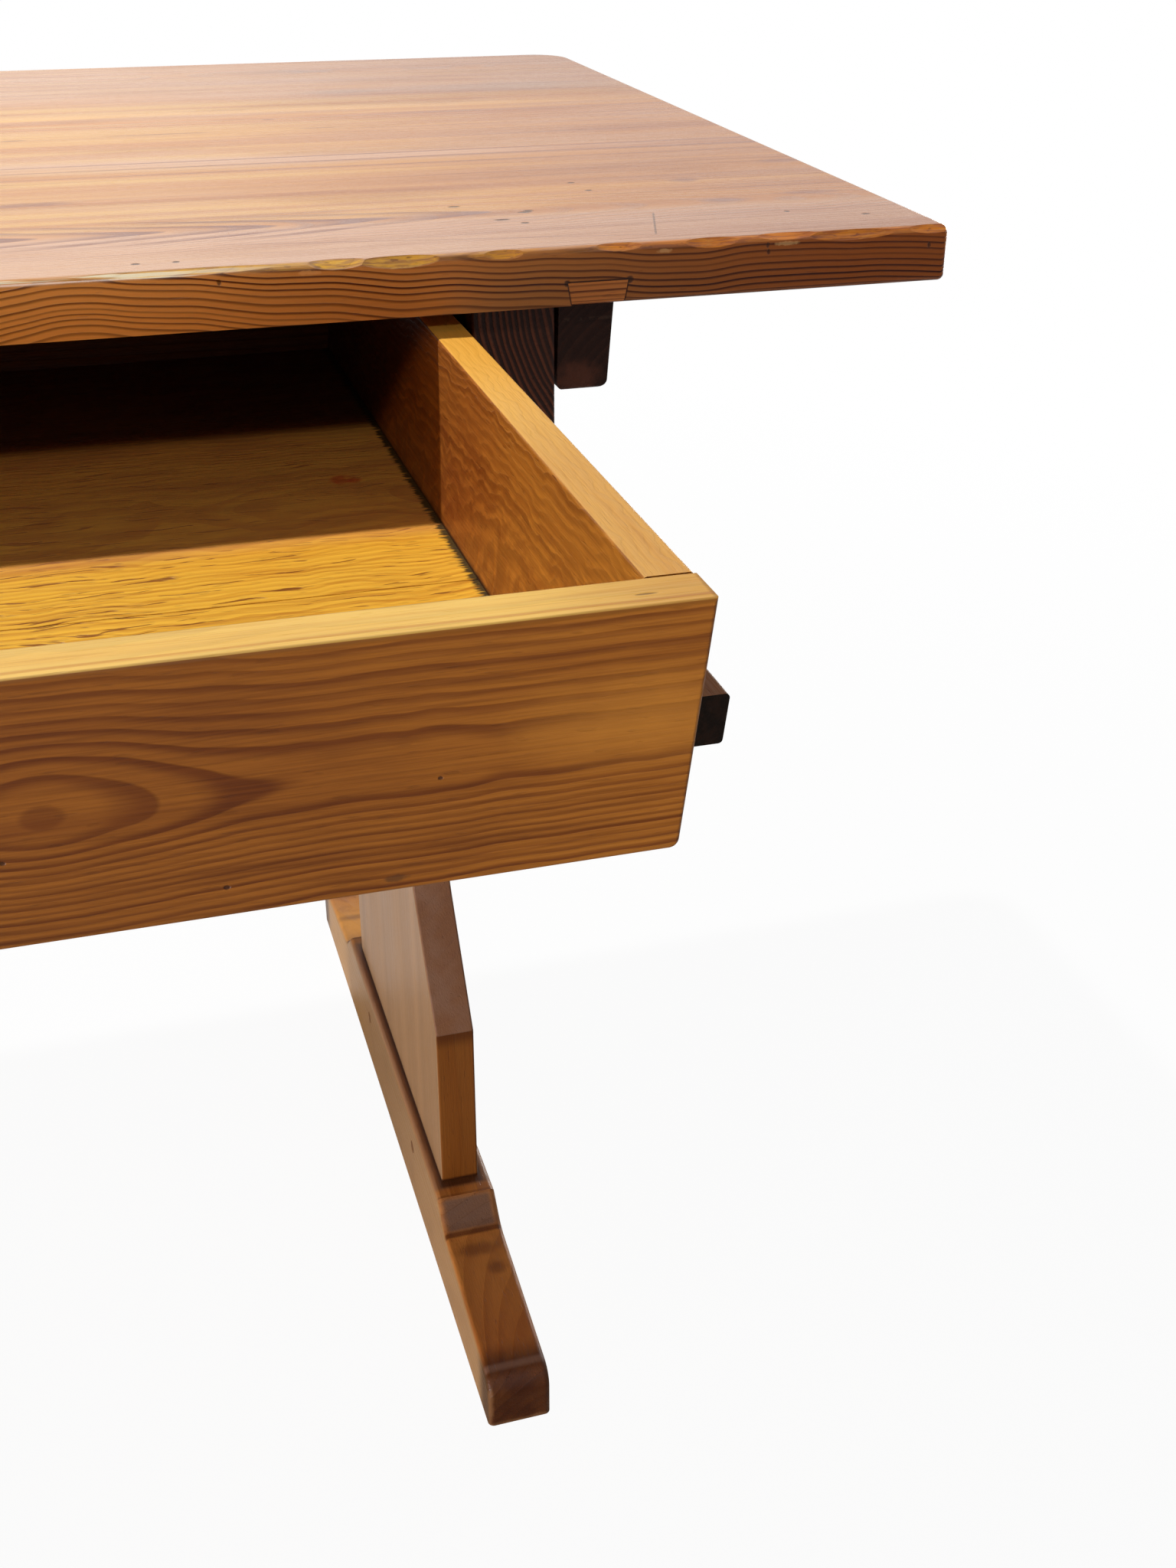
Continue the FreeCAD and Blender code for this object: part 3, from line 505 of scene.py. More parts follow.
# Worm holes on the front board: middle, and half length.
PITS = ((0.3808, -0.0575, 0.00286), (0.396, -0.0938, 0.00374), (0.4113, -0.0792, 0.0033),
        (0.4048, -0.1034, 0.00198), (0.4138, -0.076, 0.00242), (0.2204, -0.1424, 0.00198),
        (0.2376, -0.1426, 0.00154), (0.4575, -0.034, 0.00176), (0.4545, -0.012, 0.00176),
        (0.5712, -0.1259, 0.00198), (0.536, -0.1105, 0.00132), (-0.233, -0.06, 0.00242),
        (-0.41, -0.118, 0.0022), (-0.09, 0.03, 0.00198))
# Bruises on the front board: middle, and half length.
BRUISES = ((0.517, -0.0755, 0.011), (0.588, 0.022, 0.014), (0.566, -0.067, 0.014),
           (0.515, -0.02, 0.008), (0.18, 0.0, 0.02))
# Small holes and split-off flakes in the front edge: place along X, and depth under the top or
# half length.
EDGE_HOLES = ((0.2535, 0.006), (0.507, 0.0075), (0.5065, 0.0045), (0.5895, 0.009))
EDGE_FLAKES = ((0.292, 0.005), (0.4555, 0.003), (0.516, 0.006))
# Dark dashes in the middle board and soft grey clouds in the back one: middle and half sizes.
DASHES = ((0.262, 0.1975, 0.032, 0.0016), (0.176, 0.195, 0.006, 0.0018),
          (0.33, 0.2365, 0.004, 0.0022), (0.356, 0.198, 0.012, 0.0012),
          (-0.12, 0.205, 0.02, 0.0015), (-0.34, 0.165, 0.014, 0.0015))
CLOUDS = ((0.52, 0.343, 0.06, 0.016), (0.40, 0.345, 0.03, 0.008), (0.37, 0.455, 0.03, 0.009),
          (-0.18, 0.40, 0.07, 0.02))
# Depth of the relief on the top, and how far a plug's flanks lean outwards for each metre up.
TOP_RELIEF = 0.0004
PLUG_FLARE = 0.19
# Woods and marks of the top.
PLUG_WOOD = (0.76, 0.25, 0.06)
CLOUD_GREY = (0.40, 0.26, 0.20)
HEART_GREY = (0.34, 0.17, 0.13)
PIT_BROWN = (0.07, 0.025, 0.010)
SCRATCH_BROWN = (0.12, 0.05, 0.03)
GLINT_PALE = (1.0, 0.86, 0.56)
KERF_BLACK = (0.03, 0.01, 0.006)


class TABLE_OT_dress_top(bpy.types.Operator):
    """Finish the three boards of the top and the plugs of its slots."""

    bl_idname = "table.dress_top"
    bl_label = "Dress Top"
    bl_options = {"REGISTER", "UNDO"}

    def execute(self, context):
        look = context.scene.table_finish
        self.front_board(look)
        self.middle_board(look)
        self.back_board(look)
        for end, seed in (("front", 36.0), ("back", 35.0)):
            for side, _ in SIDES:
                self.plug(look, end, side, seed)
        return {"FINISHED"}

    def front_board(self, look):
        skin = self.start(look, Board(
            "top_board_front", "X", heart=(-0.052, -0.05), ring=0.0016, tilt=(0.0, 0.034),
            wander=0.003, waves=0.0060, wave_length=0.12, uneven=2.2, late=(0.44, 0.82),
            seed=3.1))
        above = self.above(skin)
        self.flames(skin, look, above)
        self.seam_lines(skin, look, above)
        self.bruises(skin, look, above)
        coat = self.arris(skin, look)
        self.kerfs(skin)
        skin.close(coat=coat, depth=TOP_RELIEF)

    def middle_board(self, look):
        skin = self.start(look, Board(
            "top_board_middle", "X", heart=(0.07, -0.05), ring=0.0026, wander=0.006,
            late=(0.36, 0.80), seed=11.7))
        for x, y, half_x, half_y in DASHES:
            dash = skin.spot((x, y, TOP), (half_x, half_y, 0.002), edge=0.5, ragged=1.2,
                             scale=70.0)
            skin.cover(dash * 0.5, look.top_line)
        skin.close(depth=TOP_RELIEF)

    def back_board(self, look):
        skin = self.start(look, Board(
            "top_board_back", "X", heart=(0.06, -0.06), ring=0.0020, wander=0.004, waves=0.006,
            wave_length=0.1, uneven=1.6, late=(0.36, 0.80), seed=23.9))
        for x, y, half_x, half_y in CLOUDS:
            cloud = skin.spot((x, y, TOP), (half_x, half_y, 0.01), edge=0.9, ragged=0.8,
                              scale=40.0)
            skin.cover(cloud * 0.45, CLOUD_GREY)
        skin.close(depth=TOP_RELIEF)

    def plug(self, look, end, side, seed):
        board = Board(f"slot_plug_{end}_{side}", "X", heart=(0.02, -0.05), ring=0.0021,
                      seed=seed, late=(0.42, 0.84))
        skin = Skin(board, PLUG_WOOD, shade(look.edge_late, 0.9), mottle=0.3, end_shade=0.1)
        skin.close()

    def start(self, look, board):
        """What all three boards have: their edges, their underside and the upper face."""
        skin = Skin(board, look.edge_early, look.edge_late, fibre=0.12, mottle=0.15, dashes=0.2,
                    roughness=0.32, end_shade=0.35)
        self.edges(skin)
        self.face(skin, look)
        return skin

    def above(self, skin):
        """1 on the upper face, fading over the arrises."""
        return skin.tree.ramp(skin.up, 0.6, 0.93)

    def edges(self, skin):
        """Edges darker to the right, a grey lower arris, a dim underside: painted shade and
        reflection.
        """
        tree, grain = skin.tree, skin.grain
        # Painted shade: the edges darker towards the right end.
        skin.tint(tree.ramp(grain.x, 0.10, 0.56), (0.42, 0.225, 0.135))
        # Painted reflection: a grey line along the lower arris.
        lower_arris = tree.fall(grain.z, UNDER + 0.0008, UNDER + 0.0022) \
            * tree.ramp(skin.up, -0.95, -0.5) * tree.fall(skin.up, -0.3, 0.0)
        skin.cover(lower_arris * 0.55, (0.22, 0.12, 0.07))
        # Painted shade on the faces that look down.
        underside = tree.fall(skin.up, -0.9, -0.6)
        skin.tint(underside * 0.75, (0.28, 0.2, 0.16))

    def face(self, skin, look):
        """The pale, handled upper face: bands of peach, cream and mauve with faint rings."""
        tree, grain = skin.tree, skin.grain
        sway = skin.noise((1.7, 5.0, 0.0), level=3.0) - 0.5
        y = grain.y + sway * 0.03
        bands = skin.noise((1.6, 60.0, 0.0), level=7.0, detail=4.0)
        fine = skin.noise((3.0, 300.0, 0.0), level=1.0, detail=4.0, roughness=0.65)
        pale = tree.blend(tree.ramp(bands, 0.40, 0.66), look.top_peach, look.top_cream)
        palest = tree.near(y - 0.271, 0.003, 0.014) * tree.ramp(bands, 0.2, 0.6, 0.5, 1.0)
        pale = tree.blend(palest, pale, shade(look.top_cream, 1.1))
        pale = tree.blend(self.greyed(skin, y, sway, fine), pale, look.top_mauve)
        rings = grain.late * tree.ramp(bands, 0.35, 0.6, 0.30, 0.08)
        pale = tree.blend(rings, pale, look.top_line)
        for share, colour in self.face_tints(skin, bands, fine):
            pale = tree.times(share, pale, colour)
        above = self.above(skin)
        skin.cover(above, pale)
        skin.gloss(above, 0.04)

    def greyed(self, skin, y, sway, fine):
        """Where the upper face has greyed: front edge, a band, the back, the right, patches."""
        tree, grain = skin.tree, skin.grain
        grey = tree.fall(grain.y + sway * 0.012, -0.092, -0.076, 0.9)
        grey = tree.most(grey, tree.near(y - 0.095, 0.008, 0.024) * 0.6)
        grey = tree.most(grey, tree.ramp(y, 0.29, 0.36) * 0.6)
        grey = tree.most(grey, tree.ramp(grain.x, 0.36, 0.60) * 0.2)
        clouds = skin.patches((3.0, 14.0, 0.0), 0.44, 0.7, seed=4.0, detail=4.0)
        grey = tree.least(grey + clouds * 0.35 + (fine - 0.5) * 0.9, 1.0)
        return tree.most(grey, 0.0)

    def face_tints(self, skin, bands, fine):
        """Shares and colours of what darkens or warms the upper face, in order."""
        tree, grain = skin.tree, skin.grain
        to_right = tree.ramp(grain.x, 0.20, 0.50)
        sunned = tree.ramp(bands, 0.42, 0.56) * tree.ramp(grain.y, -0.088, -0.074) \
            * tree.fall(grain.y, 0.20, 0.30)
        worn = skin.patches((5.0, 22.0, 0.0), 0.54, 0.68, seed=27.0, detail=5.0)
        dulled = skin.patches((3.5, 30.0, 0.0), 0.48, 0.62, seed=41.0, detail=5.0)
        return (
            (tree.ramp(fine, 0.50, 0.70) * (to_right * 0.3 + 0.42), (0.60, 0.46, 0.38)),
            (to_right * sunned * 0.55, (1.0, 0.84, 0.62)),
            (worn * (to_right * 0.25 + 0.4), (0.72, 0.60, 0.52)),
            (dulled * to_right * 0.45, (0.74, 0.60, 0.55)),
            (tree.ramp(grain.y, 0.22, 0.45) * 0.8, (0.86, 0.88, 0.95)),
            (tree.ramp(grain.x, 0.20, 0.60) * 0.8, (0.66, 0.52, 0.42)),
        )

    def flames(self, skin, look, above):
        """Row of nested flames that point right, with a grey heart behind each tip."""
        tree, grain = skin.tree, skin.grain
        wobble = (skin.noise((9.0, 40.0, 0.0), level=5.0) - 0.5) * 0.03
        across = grain.y + tree.ramp(grain.x, 0.28, 0.40, 0.0795, 0.074)
        reach = grain.x + tree.root(across * across + 0.000006) * 4.9 - 0.012 + wobble
        step = tree.part((reach - FLAME_TIP) * (1.0 / FLAME_PITCH))
        line = tree.ramp(step, 0.30, 0.85) * tree.fall(step, 0.93, 1.0)
        room = tree.near(across, 0.018, 0.030) * tree.fall(reach, FLAME_TIP, FLAME_TIP + 0.002)
        vigour = skin.patches((13.0, 60.0, 0.0), 0.3, 0.65, seed=17.0)
        skin.cover(line * room * above * (vigour * 0.5 + 0.4), look.top_line)
        heart = tree.ramp(step, 0.05, 0.8) * tree.near(across, 0.003, 0.008) \
            * tree.fall(reach, FLAME_TIP - 0.002, FLAME_TIP + 0.002)
        skin.cover(heart * above * 0.55, HEART_GREY)

    def seam_lines(self, skin, look, above):
        """Dark lines near the back of the board, a violet and a tan streak and a fine rule."""
        tree, grain = skin.tree, skin.grain
        sway = (skin.noise((6.0, 0.0, 0.0), level=2.0) - 0.5) * 0.004
        strength = skin.patches((4.0, 0.0, 0.0), 0.35, 0.6, seed=2.0)
        for line_y, width in SEAM_LINES:
            line = tree.near(grain.y + sway - line_y, width * 0.3, width * 1.7)
            skin.cover(line * above * (strength * 0.5 + 0.35), look.top_line)
        violet = tree.near(grain.y + sway - 0.094, 0.004, 0.009) \
            * tree.near(grain.x - 0.35, 0.06, 0.15)
        skin.cover(violet * above * 0.5, look.top_mauve)
        tan = tree.near(grain.y + 0.006 + sway * 1.5, 0.002, 0.006) \
            * tree.near(grain.x - 0.29, 0.08, 0.16)
        skin.tint(tan * above * 0.5, (0.78, 0.62, 0.5))
        rule = tree.near(grain.y + 0.121 + (grain.x - 0.305) * 0.15 + sway, 0.0002, 0.0012) \
            * tree.near(grain.x - 0.36, 0.07, 0.12)
        skin.cover(rule * above * 0.45, look.top_line)

    def bruises(self, skin, look, above):
        """Worm holes, bruises and a scratch."""
        tree, grain = skin.tree, skin.grain
        for x, y, reach in PITS:
            skin.hole((x, y, TOP), (reach, 0.0015, 0.002), share=0.9, colour=PIT_BROWN)
        for x, y, reach in BRUISES:
            bruise = skin.spot((x, y, TOP), (reach, 0.0045, 0.003), edge=0.6, ragged=0.8,
                               scale=120.0)
            skin.cover(bruise * above * 0.6, look.top_line)
        scratch = tree.near(grain.x - 0.461 - (grain.y + 0.13) * 0.31, 0.0002, 0.0008) \
            * tree.near(grain.y + 0.120, 0.020, 0.026)
        skin.cover(scratch * above * 0.7, SCRATCH_BROWN)

    def arris(self, skin, look):
        """The front arris: chips, rubbed places, a painted highlight and polish; gives its coat's
        share.
        """
        tree, grain = skin.tree, skin.grain
        near_front = tree.fall(grain.y, TOP_FRONT + 0.012, TOP_FRONT + 0.016) \
            * tree.ramp(grain.z, TOP - 0.014, TOP - 0.010)
        rounded = tree.ramp(skin.up, 0.15, 0.35) * tree.fall(skin.up, 0.93, 0.99) * near_front
        self.chips(skin, look, near_front, rounded)
        polish = tree.ramp(skin.noise((14.0, 420.0, 420.0), level=2.0, detail=3.0), 0.47, 0.54)
        # Painted highlight: pale threads along the rounded arris at the left, for the lamp's
        # glint.
        glint = tree.near(skin.up - 0.80, 0.14, 0.2) * tree.fall(grain.x, 0.20, 0.30, 0.95)
        skin.cover(glint * near_front * polish, GLINT_PALE)
        for x, drop in EDGE_HOLES:
            skin.hole((x, TOP_FRONT, TOP - drop), (0.0008, 0.002, 0.0012), share=0.75)
        for x, reach in EDGE_FLAKES:
            flake = skin.spot((x, TOP_FRONT + 0.0006, TOP - 0.0042), (reach, 0.003, 0.0009),
                              ragged=1.4, scale=500.0)
            skin.cover(flake * 0.5, (1.0, 0.55, 0.22))
        skin.gloss(rounded, 0.08)
        return rounded * tree.ramp(grain.x, 0.24, 0.31, 1.0, 0.25) * (polish * 0.85 + 0.15)

    def chips(self, skin, look, near_front, rounded):
        """Ragged bare wood in the scooped chips and where the arris is rubbed through."""
        tree, grain = skin.tree, skin.grain
        streaks = skin.noise((70.0, 700.0, 700.0), detail=3.0)
        bare = self.bare_wood(skin, look, streaks)
        out = tree.most((TOP_FRONT + ARRIS) - grain.y, 0.0)
        high = tree.most(grain.z - (TOP - ARRIS), 0.0)
        depth = ARRIS - tree.root(out * out + high * high)
        deep = depth * ((streaks - 0.5) * 4.0 + 1.0)
        skin.cover(tree.ramp(deep, 0.0001, 0.0005) * near_front * 0.92, bare)
        lip = tree.near(deep - 0.0003, 0.0001, 0.00025) * near_front
        skin.cover(lip * 0.15, (0.16, 0.05, 0.015))
        rubbed = tree.most(skin.patches((20.0, 120.0, 120.0), 0.50, 0.62, seed=6.0) * 0.6,
                           tree.ramp(grain.x, 0.38, 0.48) * 0.85)
        skin.cover(rubbed * rounded, bare)
        to_left = tree.fall(grain.x, 0.12, 0.24)
        skin.cover(rounded * to_left * 0.85, (0.80, 0.30, 0.05))

    def bare_wood(self, skin, look, streaks):
        """Colour of fresh wood, with dark flecks and light ones painted as highlights, browner to
        the right.
        """
        tree, grain = skin.tree, skin.grain
        flecks = skin.noise((160.0, 500.0, 500.0), level=4.0)
        bare = tree.blend(tree.ramp(streaks, 0.42, 0.64), look.chip, shade(look.edge_early, 0.6))
        # Painted highlights: the light flecks.
        bare = tree.blend(tree.ramp(flecks, 0.58, 0.68) * 0.6, bare, (1.0, 0.62, 0.12))
        bare = tree.blend(tree.fall(flecks, 0.30, 0.38) * 0.6, bare, (0.22, 0.07, 0.012))
        return tree.times(tree.ramp(grain.x, 0.30, 0.46), bare, (0.80, 0.46, 0.30))

    def kerfs(self, skin):
        """Dark saw kerfs and corner holes about the plugs."""
        tree, grain = skin.tree, skin.grain
        low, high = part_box("slot_plug_front_right")
        middle, half = (low.x + high.x) / 2, (high.x - low.x) / 2
        on_front = tree.fall(skin.normal[1], -0.9, -0.6)
        from_middle = abs(abs(grain.x) - middle)
        from_flank = from_middle - half + (high.z - grain.z) * PLUG_FLARE
        flank = tree.near(from_flank, 0.0003, 0.0009) * tree.fall(grain.z, high.z, high.z + 0.0012)
        crown = tree.near(grain.z - high.z - 0.0003, 0.0002, 0.0008) \
            * tree.fall(from_middle, half, half + 0.001)
        skin.cover(tree.most(flank, crown) * on_front * 0.9, KERF_BLACK)
        for x, size in ((low.x - 0.0006, 0.0014), (high.x + 0.0008, 0.0016)):
            skin.hole((x, TOP_FRONT, high.z), (size, 0.002, size))


# ---- rails -----------------------------------------------------------------------------------

class TABLE_OT_dress_rails(bpy.types.Operator):
    """Finish the dark battens and head rails."""

    bl_idname = "table.dress_rails"
    bl_label = "Dress Rails"
    bl_options = {"REGISTER", "UNDO"}

    def execute(self, context):
        look = context.scene.table_finish
        for number, (side, sign) in enumerate(SIDES):
            self.rail(look, side, sign, number)
            self.batten(look, side, sign, number)
        return {"FINISHED"}

    def rail(self, look, side, sign, number):
        board = Board(f"head_rail_{side}", "Y", heart=(sign * 0.10, 0.06), ring=0.0031,
                      wander=0.004, waves=0.0025, wave_length=0.02, uneven=0.8, late=(0.3, 0.7),
                      seed=41.0 + number)
        skin = Skin(board, look.dark_early, look.dark_late, fibre=0.3, mottle=0.4, end_shade=0.0,
                    roughness=0.5)
        skin.close()

    def batten(self, look, side, sign, number):
        """Nearly black, with a lighter line a quarter down and a rubbed patch at the front end."""
        board = Board(f"batten_{side}", "Y", heart=(0.05, -0.05), ring=0.004, wander=0.005,
                      seed=47.0 + number)
        skin = Skin(board, shade(look.dark_early, 0.9), shade(look.dark_late, 0.21), fibre=0.3,
                    mottle=0.4, end_shade=0.0, roughness=0.5)
        level = UNDER - (UNDER - board.low.z) * 0.24
        # A lighter, patchy line a quarter down the batten.
        line = skin.tree.near(skin.grain.z - level, 0.0004, 0.0012)
        patchy = skin.patches((300.0, 60.0, 300.0), 0.4, 0.6)
        skin.cover(line * patchy * 0.3, (0.14, 0.08, 0.05))
        patch = (sign * (abs(board.middle.x) - 0.003), board.low.y, board.low.z + 0.006)
        rubbed = skin.spot(patch, (0.010, 0.02, 0.008), edge=0.5, ragged=1.2, scale=160.0)
        skin.cover(rubbed * 0.7, (0.13, 0.04, 0.02))
        skin.close(specular=0.15)


# ---- trestles --------------------------------------------------------------------------------

# Heights between which an upright's edge darkens under its bend, and where the bend ends it.
BEND_START = 0.184
BEND_DARK = 0.196
BEND_END = 0.1972
# Along a foot from its middle: where the greyed pad fades, the pad's edge, the middle of the
# step beside it and the line at the step's foot.
PAD_GREY = 0.160
PAD_EDGE = 0.1715
STEP_MIDDLE = 0.182
STEP_FOOT = 0.193
# Dark smears on a foot: outwards and along from its middle, and half width.
SMEARS = ((0.0, -0.208, 0.014), (0.009, -0.226, 0.006), (-0.006, 0.24, 0.012))
# Woods of the trestles: a foot's upper side, its flanks, its pad and its step, and the narrow
# edges of an upright above the bend, greyed there by a painted sheen. The gold of a foot's
# flank and pad at its back is painted light.
FOOT_WOOD = (0.62, 0.24, 0.052)
FLANK_WOOD = (0.43, 0.25, 0.115)
FLANK_LIT_GOLDEN = (0.41, 0.21, 0.062)
PAD_WOOD = (0.27, 0.13, 0.060)
PAD_LIT_GOLDEN = (0.55, 0.24, 0.03)
STEP_WOOD = (0.125, 0.064, 0.042)
SLOPE_WOOD_AND_SHEEN = (0.265, 0.136, 0.083)


class TABLE_OT_dress_trestles(bpy.types.Operator):
    """Finish the uprights, feet, stretcher, tusks and pegs."""

    bl_idname = "table.dress_trestles"
    bl_label = "Dress Trestles"
    bl_options = {"REGISTER", "UNDO"}

    def execute(self, context):
        look = context.scene.table_finish
        for number, (side, sign) in enumerate(SIDES):
            self.upright(look, side, number)
            self.foot(look, side, sign, number)
            self.tusk(look, side, number)
        self.stretcher(look)
        for number, name in enumerate(("rail_pegs", "foot_pegs", "batten_pegs")):
            self.pegs(look, name, number)
        return {"FINISHED"}

    def tusk(self, look, side, number):
        board = Board(f"tusk_{side}", "Z", heart=(0.03, 0.01), ring=0.003, seed=61.0 + number)
        skin = Skin(board, look.peg, shade(look.peg, 0.5))
        skin.wear(shade(look.peg, 1.7), 0.002)
        skin.close()

    def stretcher(self, look):
        board = Board("stretcher", "X", heart=(0.02, -0.07), ring=0.0045, wander=0.006,
                      seed=67.0)
        skin = Skin(board, look.trestle_early, look.trestle_late, mottle=0.4, roughness=0.40)
        skin.wear(shade(look.trestle_early, 1.5), 0.003)
        skin.close()

    def pegs(self, look, name, number):
        board = Board(name, "X", heart=(0.03, 0.01), ring=0.003, seed=71.0 + number)
        skin = Skin(board, look.peg, shade(look.peg, 0.5), roughness=0.5)
        skin.close()

    def upright(self, look, side, number):
        """Greyed broad faces; narrow edges orange below the bend and greyer above it."""
        board = Board(f"upright_{side}", "Z", heart=(-0.05, 0.02), ring=0.005, wander=0.006,
                      seed=53.0 + number)
        skin = Skin(board, shade(look.trestle_early, 0.57), shade(look.trestle_late, 0.85),
                    fibre=0.14, mottle=0.45, roughness=0.42, contrast=0.5)
        tree, grain = skin.tree, skin.grain
        broad = tree.ramp(abs(skin.normal[0]), 0.6, 0.95)
        narrow = 1.0 - broad
        soft_lines = skin.noise((40.0, 45.0, 2.0), detail=3.0)
        # Partly a painted reflection of the pale floor: the broad faces greyed.
        handled = tree.blend(tree.ramp(soft_lines, 0.3, 0.75), look.trestle_grey,
                             shade(look.trestle_grey, 0.80))
        handled = tree.blend(grain.late * 0.12, handled, shade(look.trestle_early, 0.8))
        skin.cover(broad * 0.95, handled)
        # Painted sheen: the narrow edges that face up above the bend greyer.
        slope = tree.ramp(abs(skin.up), 0.1, 0.25) * narrow
        scuffed = skin.patches((60.0, 40.0, 60.0), 0.35, 0.7, seed=5.0, detail=4.0)
        skin.cover(slope * (scuffed * 0.4 + 0.55), SLOPE_WOOD_AND_SHEEN)
        bend = tree.ramp(grain.z, BEND_START, BEND_DARK) \
            * tree.fall(grain.z, BEND_END, BEND_END + 0.001)
        skin.tint(bend * narrow * 0.75, (0.35, 0.25, 0.22))
        foot_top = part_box(f"foot_{side}")[1].z
        # Painted shade where the upright meets its foot.
        foot_joint_shade = tree.fall(grain.z, foot_top + 0.0005, foot_top + 0.003)
        skin.tint(foot_joint_shade * 0.9, (0.12, 0.07, 0.05))
        skin.close()

    def foot(self, look, side, sign, number):
        """Warm upper side with dark smudges, greyed step and flanks, dark toe."""
        board = Board(f"foot_{side}", "Y", heart=(0.03, -0.07), ring=0.006, wander=0.006,
                      seed=59.0 + number)
        skin = Skin(board, FOOT_WOOD, shade(look.trestle_late, 1.3), fibre=0.14, mottle=0.35,
                    roughness=0.40, contrast=0.3, end_shade=0.3)
        flank = skin.tree.ramp(abs(skin.normal[0]), 0.6, 0.95)
        upper = 1.0 - flank
        self.pad(skin, side, flank, upper)
        smudge = skin.patches((30.0, 22.0, 30.0), 0.50, 0.68, seed=8.0, detail=4.0)
        skin.tint(smudge * 0.4 * (1.0 - flank * 0.6), (0.40, 0.30, 0.26))
        self.step(skin, upper)
        self.toe(skin, upper, smudge)
        for x, y, reach in SMEARS:
            middle = (board.middle.x + sign * x, board.middle.y + y, board.high.z - 0.01)
            smear = skin.spot(middle, (reach, 0.005, 0.04), edge=0.7, ragged=1.0, scale=120.0)
            skin.tint(smear * 0.65, (0.3, 0.22, 0.2))
        skin.wear((0.40, 0.20, 0.085), 0.004, share=0.3)
        skin.close()

    def pad(self, skin, side, flank, upper):
        """Grey flanks, darker towards the back and gold at its end with painted light, and the
        greyed pad with painted shade beside the upright.
        """
        tree, grain, middle = skin.tree, skin.grain, skin.board.middle
        skin.cover(flank * 0.92, FLANK_WOOD)
        skin.tint(tree.ramp(grain.y, -0.04, 0.2) * flank * 0.75, (0.66, 0.64, 0.62))
        # Painted light: gold at the back of the foot, where the key lamp reaches it.
        golden_light = tree.ramp(grain.y, 0.22, 0.42) * 0.8
        skin.cover(golden_light * flank, FLANK_LIT_GOLDEN)
        from_middle = abs(grain.y - middle.y)
        skin.cover(tree.fall(from_middle, PAD_GREY, PAD_GREY + 0.006, 0.75) * upper, PAD_WOOD)
        low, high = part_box(f"upright_{side}")
        half = (high.x - low.x) / 2
        # Painted shade on the pad along the foot of the upright.
        beside = tree.fall(abs(grain.x - middle.x), half + 0.0005, half + 0.0045)
        skin.tint(beside * tree.fall(from_middle, PAD_GREY, PAD_GREY + 0.004, 0.9) * upper,
                  (0.22, 0.15, 0.11))
        # Painted light: the pad gold at the back.
        skin.cover(golden_light * upper * tree.ramp(grain.y, 0.32, 0.36), PAD_LIT_GOLDEN)

    def step(self, skin, upper):
        """The small step beside the pad: dark, with a line along its top and its foot."""
        tree, grain, middle = skin.tree, skin.grain, skin.board.middle
        from_middle = abs(grain.y - middle.y)
        dark = tree.near(from_middle - STEP_MIDDLE, 0.007, 0.011) * upper \
            * tree.ramp(abs(grain.x - middle.x), 0.014, 0.020, 1.0, 0.35)
        skin.cover(dark * 0.9, STEP_WOOD)
        lip = tree.near(from_middle - PAD_EDGE, 0.0008, 0.0025) * upper
        skin.tint(lip * 0.4, (0.25, 0.16, 0.12))
        foot_line = tree.near(from_middle - STEP_FOOT, 0.0008, 0.0028) * upper
        skin.tint(foot_line * 0.85, (0.2, 0.12, 0.08))

    def toe(self, skin, upper, smudge):
        """The handled slope, the dark toe and a thin lighter line where it rounds over, partly a
        painted highlight.
        """
        tree, board = skin.tree, skin.board
        to_end = board.half.y - abs(skin.grain.y - board.middle.y)
        handled = tree.fall(to_end, 0.03, 0.095) * upper
        skin.tint(handled * (smudge * 0.3 + 0.5), (0.60, 0.40, 0.36))
        skin.tint(tree.fall(to_end, 0.012, 0.034, 0.92), (0.18, 0.14, 0.12))
        # Partly a painted highlight: the lighter line where the toe rounds over.
        shine = tree.near(to_end - 0.0135, 0.0008, 0.004) * upper
        skin.cover(shine * 0.55, (0.30, 0.16, 0.11))


# ---- drawer ----------------------------------------------------------------------------------

# Painted shade at the back of the drawer, behind the line where the top's front edge shades
# the second lamp's light: where it starts and is full on the floor, and how much further
# forward it reaches for each metre up.
REAR_SHADE_START = -0.080
REAR_SHADE_FULL = -0.036
REAR_SHADE_SLOPE = 1.3
# Holes in the front: place along X and Z, and size. Red stains on the floor: middle, and size.
FRONT_HOLES = ((0.2086, 0.6509, 1.0), (0.2749, 0.6781, 0.8), (0.1467, 0.6698, 0.9))
STAINS = ((0.3035, -0.1375, 1.0), (0.3095, -0.1395, 0.8))
# Woods and marks of the drawer, with the colour of the painted shade at its back and of the
# painted light on the right of its front.
RUNNER_WOOD = (0.34, 0.15, 0.055)
FRONT_LIT_GOLDEN = (0.56, 0.22, 0.03)
STRIPE_ORANGE = (0.62, 0.22, 0.03)
REAR_SHADE = (0.10, 0.055, 0.05)
DIRT = (0.022, 0.014, 0.004)
END_BLACK = (0.004, 0.002, 0.001)
STAIN_RED = (0.55, 0.025, 0.012)


